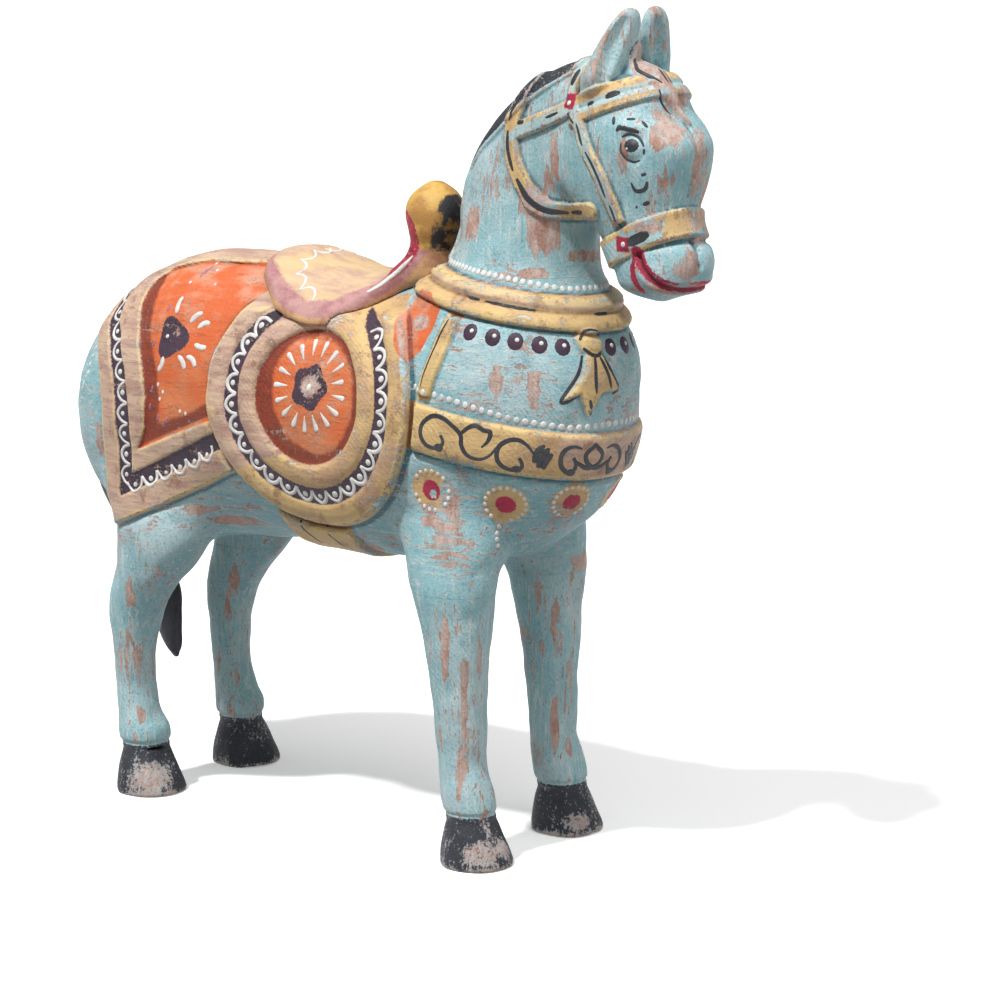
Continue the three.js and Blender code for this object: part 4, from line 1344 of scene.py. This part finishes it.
for side in (-1, 1):
    def place(x, z):
        return from_side(body, x, z, side)

    def spot(brush, x, z, size, **shape):
        point = place(x, z)
        if point is not None:
            brush.dab(point, size, **shape)

    # Scallops with a dot in each, hand-drawn in width and size.
    for path, pitch, low, wide, most, dot in (
            (CLOTH_LINES[0], 12.5, 3.3, 1.9, 0.4, 1.5), (CLOTH_LINES[1], 12.5, 3.3, 1.9, 0.4, 1.5),
            (FLAP_LINE, 12.2, 3.4, 2.1, 0.5, 1.7)):
        arcs, dots = scallops(path, pitch, low, -3.6)
        for arc in arcs:
            lay(white, place, arc, wide + chance.uniform(-0.3, most), start=0.9, end=0.9)
        for x, z in dots:
            spot(white, x, z, dot + chance.uniform(-0.2, 0.3))

    # The flap's flower of white drops and the cloth's flower of white petals.
    for u, v in ring_of(1, 17, 0.2):
        reach = 24 + chance.uniform(-1, 1)
        root, tip = [
            (FLAP_FLOWER[0] + u * far, FLAP_FLOWER[1] + v * far) for far in (reach - 8, reach)]
        lay(white, place, [root, tip], 3.1 + chance.uniform(-0.3, 0.4), start=0.12, end=1, ramp=1.1)
        spot(white, *tip, 1.5 + chance.uniform(-0.15, 0.2), tall=1.6)
    spot(white, *FLAP_FLOWER, 1.6, tall=2.2)
    spot(white, CLOTH_FLOWER[0] - 4, CLOTH_FLOWER[1] + 0.5, 1.3)
    for x, z, bend in (
            (-73, 287, 1), (-66, 283, 1.2), (-65, 272, -0.8), (-70, 263, 1.4), (-77, 262, 0.8),
            (-88, 293, 0.8), (-93, 260, 1.2)):
        u, v = np.array([x - CLOTH_FLOWER[0], z - CLOTH_FLOWER[1]]) / math.dist((x, z), CLOTH_FLOWER)
        petal = [(x - u * 4.5, z - v * 4.5), (x - v * bend, z + u * bend), (x + u * 4.5, z + v * 4.5)]
        lay(white, place, petal, 3.3, start=0.3, end=0.5)
    for x, z in ((-94, 248), (-90, 244), (-92, 240), (-77, 234), (-73, 233), (-89, 305), (-82, 315),
                 (-76, 312), (-70, 305), (-30, 315), (-23, 316)):
        spot(white, x, z, 0.9, tall=1.3)
    for x, z in ((-96, 291), (-101, 271), (-99, 245), (-100, 235), (-94, 229), (-87, 228), (-83, 312),
                 (-85, 310)):
        lay(lilac, place, [(x, z - 2), (x + 0.8, z + 2)], 1.6, start=0.4, end=0.6)

    # Beads and a stroke on the rump, and black lines on the straps.
    for z in (268, 263, 258, 253, 248):
        spot(white, -158 - (268 - z) * 0.25, z, 1.5)
    lay(white, place, [(-166, 243), (-168, 236)], 1.6)
    for path, width, start, end in (
            ([(113, 301), (106, 284), (100, 262)], 1.2, 0.4, 0.3),
            ([(-2, 177), (-1, 168), (0, 162)], 1.6, 0.8, 0.5),
            ([(14, 176), (16, 167), (18, 162)], 1.4, 0.8, 0.5),
            ([(69, 320), (66, 316), (69, 312.5), (73, 312)], 2.2, 0.3, 0.9)):
        lay(black, place, path, width, start=start, end=end)

# Bead rows above the chest band, at the foot of the neck and round the medallions. The rows give the
# height at each angle from straight ahead.
LOWER_BEADS = (0, 30, 60, 90, 120), (244.5, 244, 249, 257, 263)
UPPER_BEADS = (0, 25, 50, 80, 115, 150), (315, 315.5, 319, 322.5, 325, 326.5)
for angle in np.arange(-116, 116.1, 4.5):
    point = round_chest(body, angle, np.interp(abs(angle), *LOWER_BEADS))
    white.dab(point, 1.7 + chance.uniform(-0.2, 0.2), tall=1.9)
for angle in np.arange(-150, 150.1, 5.6):
    z = np.interp(abs(angle), *UPPER_BEADS)
    surface, brush = (head, head_white) if z > NECK_SEAM + 0.5 else (body, white)
    point = round_chest(surface, angle, z)
    if point is not None and point.x > 72:
        brush.dab(point, 1.6 + chance.uniform(-0.2, 0.15), tall=1.8)
for mx, my, mz, radius in CHEST_MEDALS:
    for side in (-1, 1):
        middle, normal, _, _ = body.find_nearest(Vector((mx, my * side, mz)))
        across = normal.cross(Vector((0, 0, 1))).normalized()
        upward = across.cross(normal)
        for u, v in ring_of(radius - 1.4, 18):
            if chance.uniform() < 0.86:
                white.dab(middle + across * u + upward * v, 1.15, tall=1.35)
for x, y, z in ((136, -41, 188), (135, -41, 184.5), (133, -40, 181.5), (133, -39, 178)):
    white.dab((x, y, z), 1.2, tall=1.5)

# Purple drops with white dots hang under the collar.
for angle in (-86, -71.5, -58.5, -45.5, -33.5, -5, 7, 20, 33.5, 47, 60, 73, 86):
    purple.dab(on_band(body, angle, -16.2, collar_height), 4.4, tall=4.9)
    white.dab(on_band(body, angle + 1, -15.4, collar_height), 1.3, rise=0.6)

# Black scrolls along the chest band as [angle, above its middle line], mirrored about the tassel;
# the last few are broad leaves. The blobs at the scrolls' ends are [angle, above, size].
SCROLLS = [
    [[-97, 0.5], [-95.8, -3], [-99, -7], [-104.5, -7.2], [-107.5, -3], [-107, 3.5], [-102, 9],
     [-96, 9.8], [-90.5, 7.5], [-86, 3.5], [-85.5, -2], [-82.5, -6.5], [-76.5, -7.2], [-71, -4],
     [-67.5, 1]],
    [[-86, 4], [-82, 8.2], [-78, 10.2], [-74, 8.8], [-70.5, 8.4], [-71.5, 3.8], [-75, -0.5]],
    [[-56, -2.5], [-54.6, -6.8], [-57.8, -9.8], [-63.4, -9.4], [-67.2, -5.4], [-66.5, 1], [-62, 5.5],
     [-56.6, 7], [-51.8, 4.6], [-48, -0.5]],
    [[-29, 0.5], [-27.3, -4], [-30, -8.4], [-34.5, -5.5], [-35.4, 0.2], [-33.3, 4.7], [-29.4, 6.6],
     [-25, 5.6]],
    [[-17, 8.2], [-19.5, 6.2], [-22.8, 2.2], [-21, -2.8], [-15.6, -5.4], [-10, -2.8], [-6.5, 0]],
    [[-48.5, -4], [-47.2, 2], [-43.4, 6]],
    [[-46.4, -6.5], [-44.8, 0.5], [-41, 4.6]],
    [[-44.2, -7], [-42.4, -2.5], [-39.6, 2]],
]
FIRST_LEAF = 5
SCROLL_BLOBS = [
    [-98.5, -6.6, 2.4], [-57.5, -9.2, 2.3], [-29.6, -8, 2.2], [-45.4, -1, 2.6], [-43, 2, 2],
]
for angles_to in (lambda angle: angle, lambda angle: -36 - angle):
    for row, line in enumerate(SCROLLS):
        path = [on_band(body, angles_to(angle), above) for angle, above in line]
        black.stroke(path, 3.2 if row >= FIRST_LEAF else 2.6, start=0.7, end=0.4)
    for angle, above, size in SCROLL_BLOBS:
        black.dab(on_band(body, angles_to(angle), above), size * 1.2, tall=size)

# Dashes in the collar's groove, and the tassel's outlines.
for first, last in ((-94, -84), (-80, -47), (-12, -2), (24, 52), (70, 84)):
    path = [on_band(body, a, 0.2, collar_height) for a in np.linspace(first, last, 8)]
    black.stroke(path, 2.2, start=0.4, end=0.6)


def on_front(y, z):
    return struck(body, (260, y, z), (-1, 0, 0))


for path in (
        [(-24.5, 290), (-22, 294.5), (-17, 295), (-12.5, 291)],
        [(-24, 286), (-21, 282.5), (-17, 282), (-13, 285)],
        [(-24.5, 282), (-29, 272), (-37, 259.5), (-34, 258.5), (-29, 261.5)],
        [(-19.5, 281), (-21, 271), (-20.5, 262)],
        [(-16.5, 281), (-13, 272), (-11, 264)],
        [(-13, 282), (-8, 272), (-3.5, 263.5), (-8, 260.5)],
        [(-24.5, 259), (-21.5, 250.5)]):
    lay(black, on_front, path, 2.1, start=0.6, end=0.4)

# The bridle's dashes, the eyes with their strokes and painted glints, and the studs.
for side in (-1, 1):
    def place(x, z):
        return head_side(head, x, z, side)

    for path, width in (
            ([(146, 420), (141, 411), (137.5, 403)], 1.3),
            ([(137.3, 398), (138, 388), (142, 377)], 1.7),
            ([(144, 373), (150, 363), (158, 357), (168, 355.5)], 2.5),
            ([(170, 355.5), (184, 357.5)], 2.2),
            ([(143, 402), (147, 403)], 2.2), ([(160, 405), (168, 408)], 1.2),
            ([(176, 430), (174.5, 422)], 2.2), ([(184, 403), (190, 392)], 1.3),
            ([(192, 389), (200, 377), (204, 366)], 1.3), ([(205.5, 362), (208.5, 350)], 1.2),
            ([(189, 412.5), (193, 414)], 2.0), ([(200, 416.5), (207, 419)], 3.0),
            ([(213.5, 342.5), (226, 348.5)], 4.2), ([(176, 408), (182, 403)], 1.3),
            ([(210.5, 401.4), (214, 401.6), (218, 400.8), (222, 399.6)], 2.0),
            ([(210.5, 402), (212.5, 401)], 3.2),
            ([(213, 394), (213, 390), (215.5, 386.3), (220, 384.6), (223.5, 385.6)], 1.1),
            ([(213.5, 397), (217, 398.6), (222, 397), (225.4, 392.5)], 1.2),
            ([(225.6, 391.5), (225.4, 388.5)], 1.0), ([(206.5, 407), (208, 403)], 1.5),
            ([(214, 406), (218, 406)], 1.3),
            ([(221.5, 405), (225, 402)], 1.3),
            ([(217.5, 374), (220, 370), (225, 371), (226.5, 375)], 1.7),
            ([(224, 378), (226.5, 379)], 1.2),
            ([(219, 362), (220, 361.5)], 1.2), ([(223, 363), (226, 364.5)], 1.7)):
        lay(head_black, place, path, width * 1.3, start=0.5, end=0.5)
    head_black.dab(place(EYE[0] + 0.3, EYE[1] + 1.6), 4.6, tall=3.9, rise=0.22)
    # A small white dot by each iris is a painted glint; the other two dots are the studs' white
    # middles.
    for x, z, size in ((EYE[0] - 1.8, EYE[1] - 0.2, 0.6), (176.5, 413, 1.5), (210.5, 342, 1.5)):
        head_white.dab(place(x, z), size, rise=0.7)


def on_brow(y, z):
    return on_head(head, (300, y, z), (-1, 0))


for path, width in (
        ([(-9, 436), (-12, 430), (-9, 424)], 2.0), ([(-2, 437), (-1, 430), (-3, 424)], 1.6),
        ([(-11, 421), (-10, 414), (-7, 408)], 1.2), ([(-4, 431), (-5, 424)], 1.2)):
    lay(head_black, on_brow, path, width, start=0.5, end=0.4)

# White scallops round the seat's worn middle, and pale strokes up to the pommel.
seat_white = Brush(saddle, 0.4)


for side in (-1, 1):
    def place(x, y):
        return struck(saddle, (x, y * -side, 400), (0, 0, -1))

    line = [(-19, 2), (-20, -14), (-18, -26), (-12, -36), (-3, -43), (9, -46)]
    for arc in scallops(line, 13, 1, 6.5)[0]:
        lay(seat_white, place, arc, 1.8, start=0.6, end=0.6)
    pale = [(56, 15, 327), (51, 20, 319), (45, 27, 312), (39, 33, 306)]
    seat_white.stroke(mirrored(pale, side), 2.6, start=0.3, end=0.5)

for brush, name, paint, slot in (
        (white, "white_ornament_body", white_paint, "painted_wood"),
        (black, "black_lines_body", black_strokes, "painted_wood"),
        (purple, "purple_drops_body", purple_strokes, "painted_wood"),
        (lilac, "lilac_strokes_body", lilac_strokes, "painted_wood"),
        (head_white, "white_ornament_head", white_paint, "painted_wood"),
        (head_black, "black_lines_head", black_strokes, "painted_wood"),
        (seat_white, "white_ornament_saddle", white_paint, "saddle_paint")):
    brush.piece(name, paint, slot)
# ---------------------------------------------------------------- stage

# The camera's place round the point that it looks at, its distance in metres and its focal length in
# pixels of a picture 1000 wide.
AZIMUTH, ELEVATION = math.radians(37.3), math.radians(10.1)
DISTANCE, FOCAL_PX, SENSOR = 1.6, 2910, 36
KEY_POWER, FRONT_POWER, WORLD_POWER, FLOOR_GLOW = 3.5, 34, 0.40, 0.22
FLOOR_REACH = 120
WHITE = (1, 1, 1, 1)


def placed(name, data):
    """A new object in the scene."""
    item = bpy.data.objects.new(name, data)
    bpy.context.scene.collection.objects.link(item)
    return item


target = Vector(to_frame((105, 0, 194)))
away = Vector((
    math.sin(AZIMUTH) * math.cos(ELEVATION),
    -math.cos(AZIMUTH) * math.cos(ELEVATION),
    math.sin(ELEVATION),
))
camera = placed("camera", bpy.data.cameras.new("camera"))
camera.location = target + away * DISTANCE
camera.rotation_euler = (-away).to_track_quat("-Z", "Y").to_euler()
camera.data.sensor_width = SENSOR
camera.data.lens = FOCAL_PX / 1000 * SENSOR
bpy.context.scene.camera = camera
bpy.context.scene.view_settings.view_transform = "Standard"

# The floor takes shadows and gives no bounced light, so legs and belly stay dark against the white.
floor = placed("floor", bpy.data.meshes.new("floor"))
corners = [(x * FLOOR_REACH, y * FLOOR_REACH, 0) for x, y in ((-1, -1), (1, -1), (1, 1), (-1, 1))]
floor.data.from_pydata(corners, [], [(0, 1, 2, 3)])
n = Nodes("floor")
tone = n.noise(3)
color = n.mix(tone, (0.93, 0.93, 0.93, 1), (0.95, 0.95, 0.95, 1))
floor.data.materials.append(n.finish(color, 0.8, tone, 0.1, 0.0002))
n.shader.inputs["Emission Color"].default_value = WHITE
n.shader.inputs["Emission Strength"].default_value = FLOOR_GLOW
floor.visible_diffuse = False

# A sun stands in for a distant softbox; its direction comes from the length of the cast shadow.
key = placed("key", bpy.data.lights.new("key", "SUN"))
key.data.energy = KEY_POWER
key.data.angle = math.radians(4)
key.rotation_euler = Vector((-0.10, -0.55, 1.0)).to_track_quat("Z", "Y").to_euler()
front = placed("front", bpy.data.lights.new("front", "AREA"))
front.data.size = 1.8
front.data.energy = FRONT_POWER
front.location = target + Vector((0.5, -0.2, 0.85)).normalized() * 2.6
front.rotation_euler = (target - front.location).to_track_quat("-Z", "Y").to_euler()

world = bpy.data.worlds.new("studio")
world.use_nodes = True
background = world.node_tree.nodes["Background"].inputs
background["Color"].default_value = WHITE
background["Strength"].default_value = WORLD_POWER
bpy.context.scene.world = world
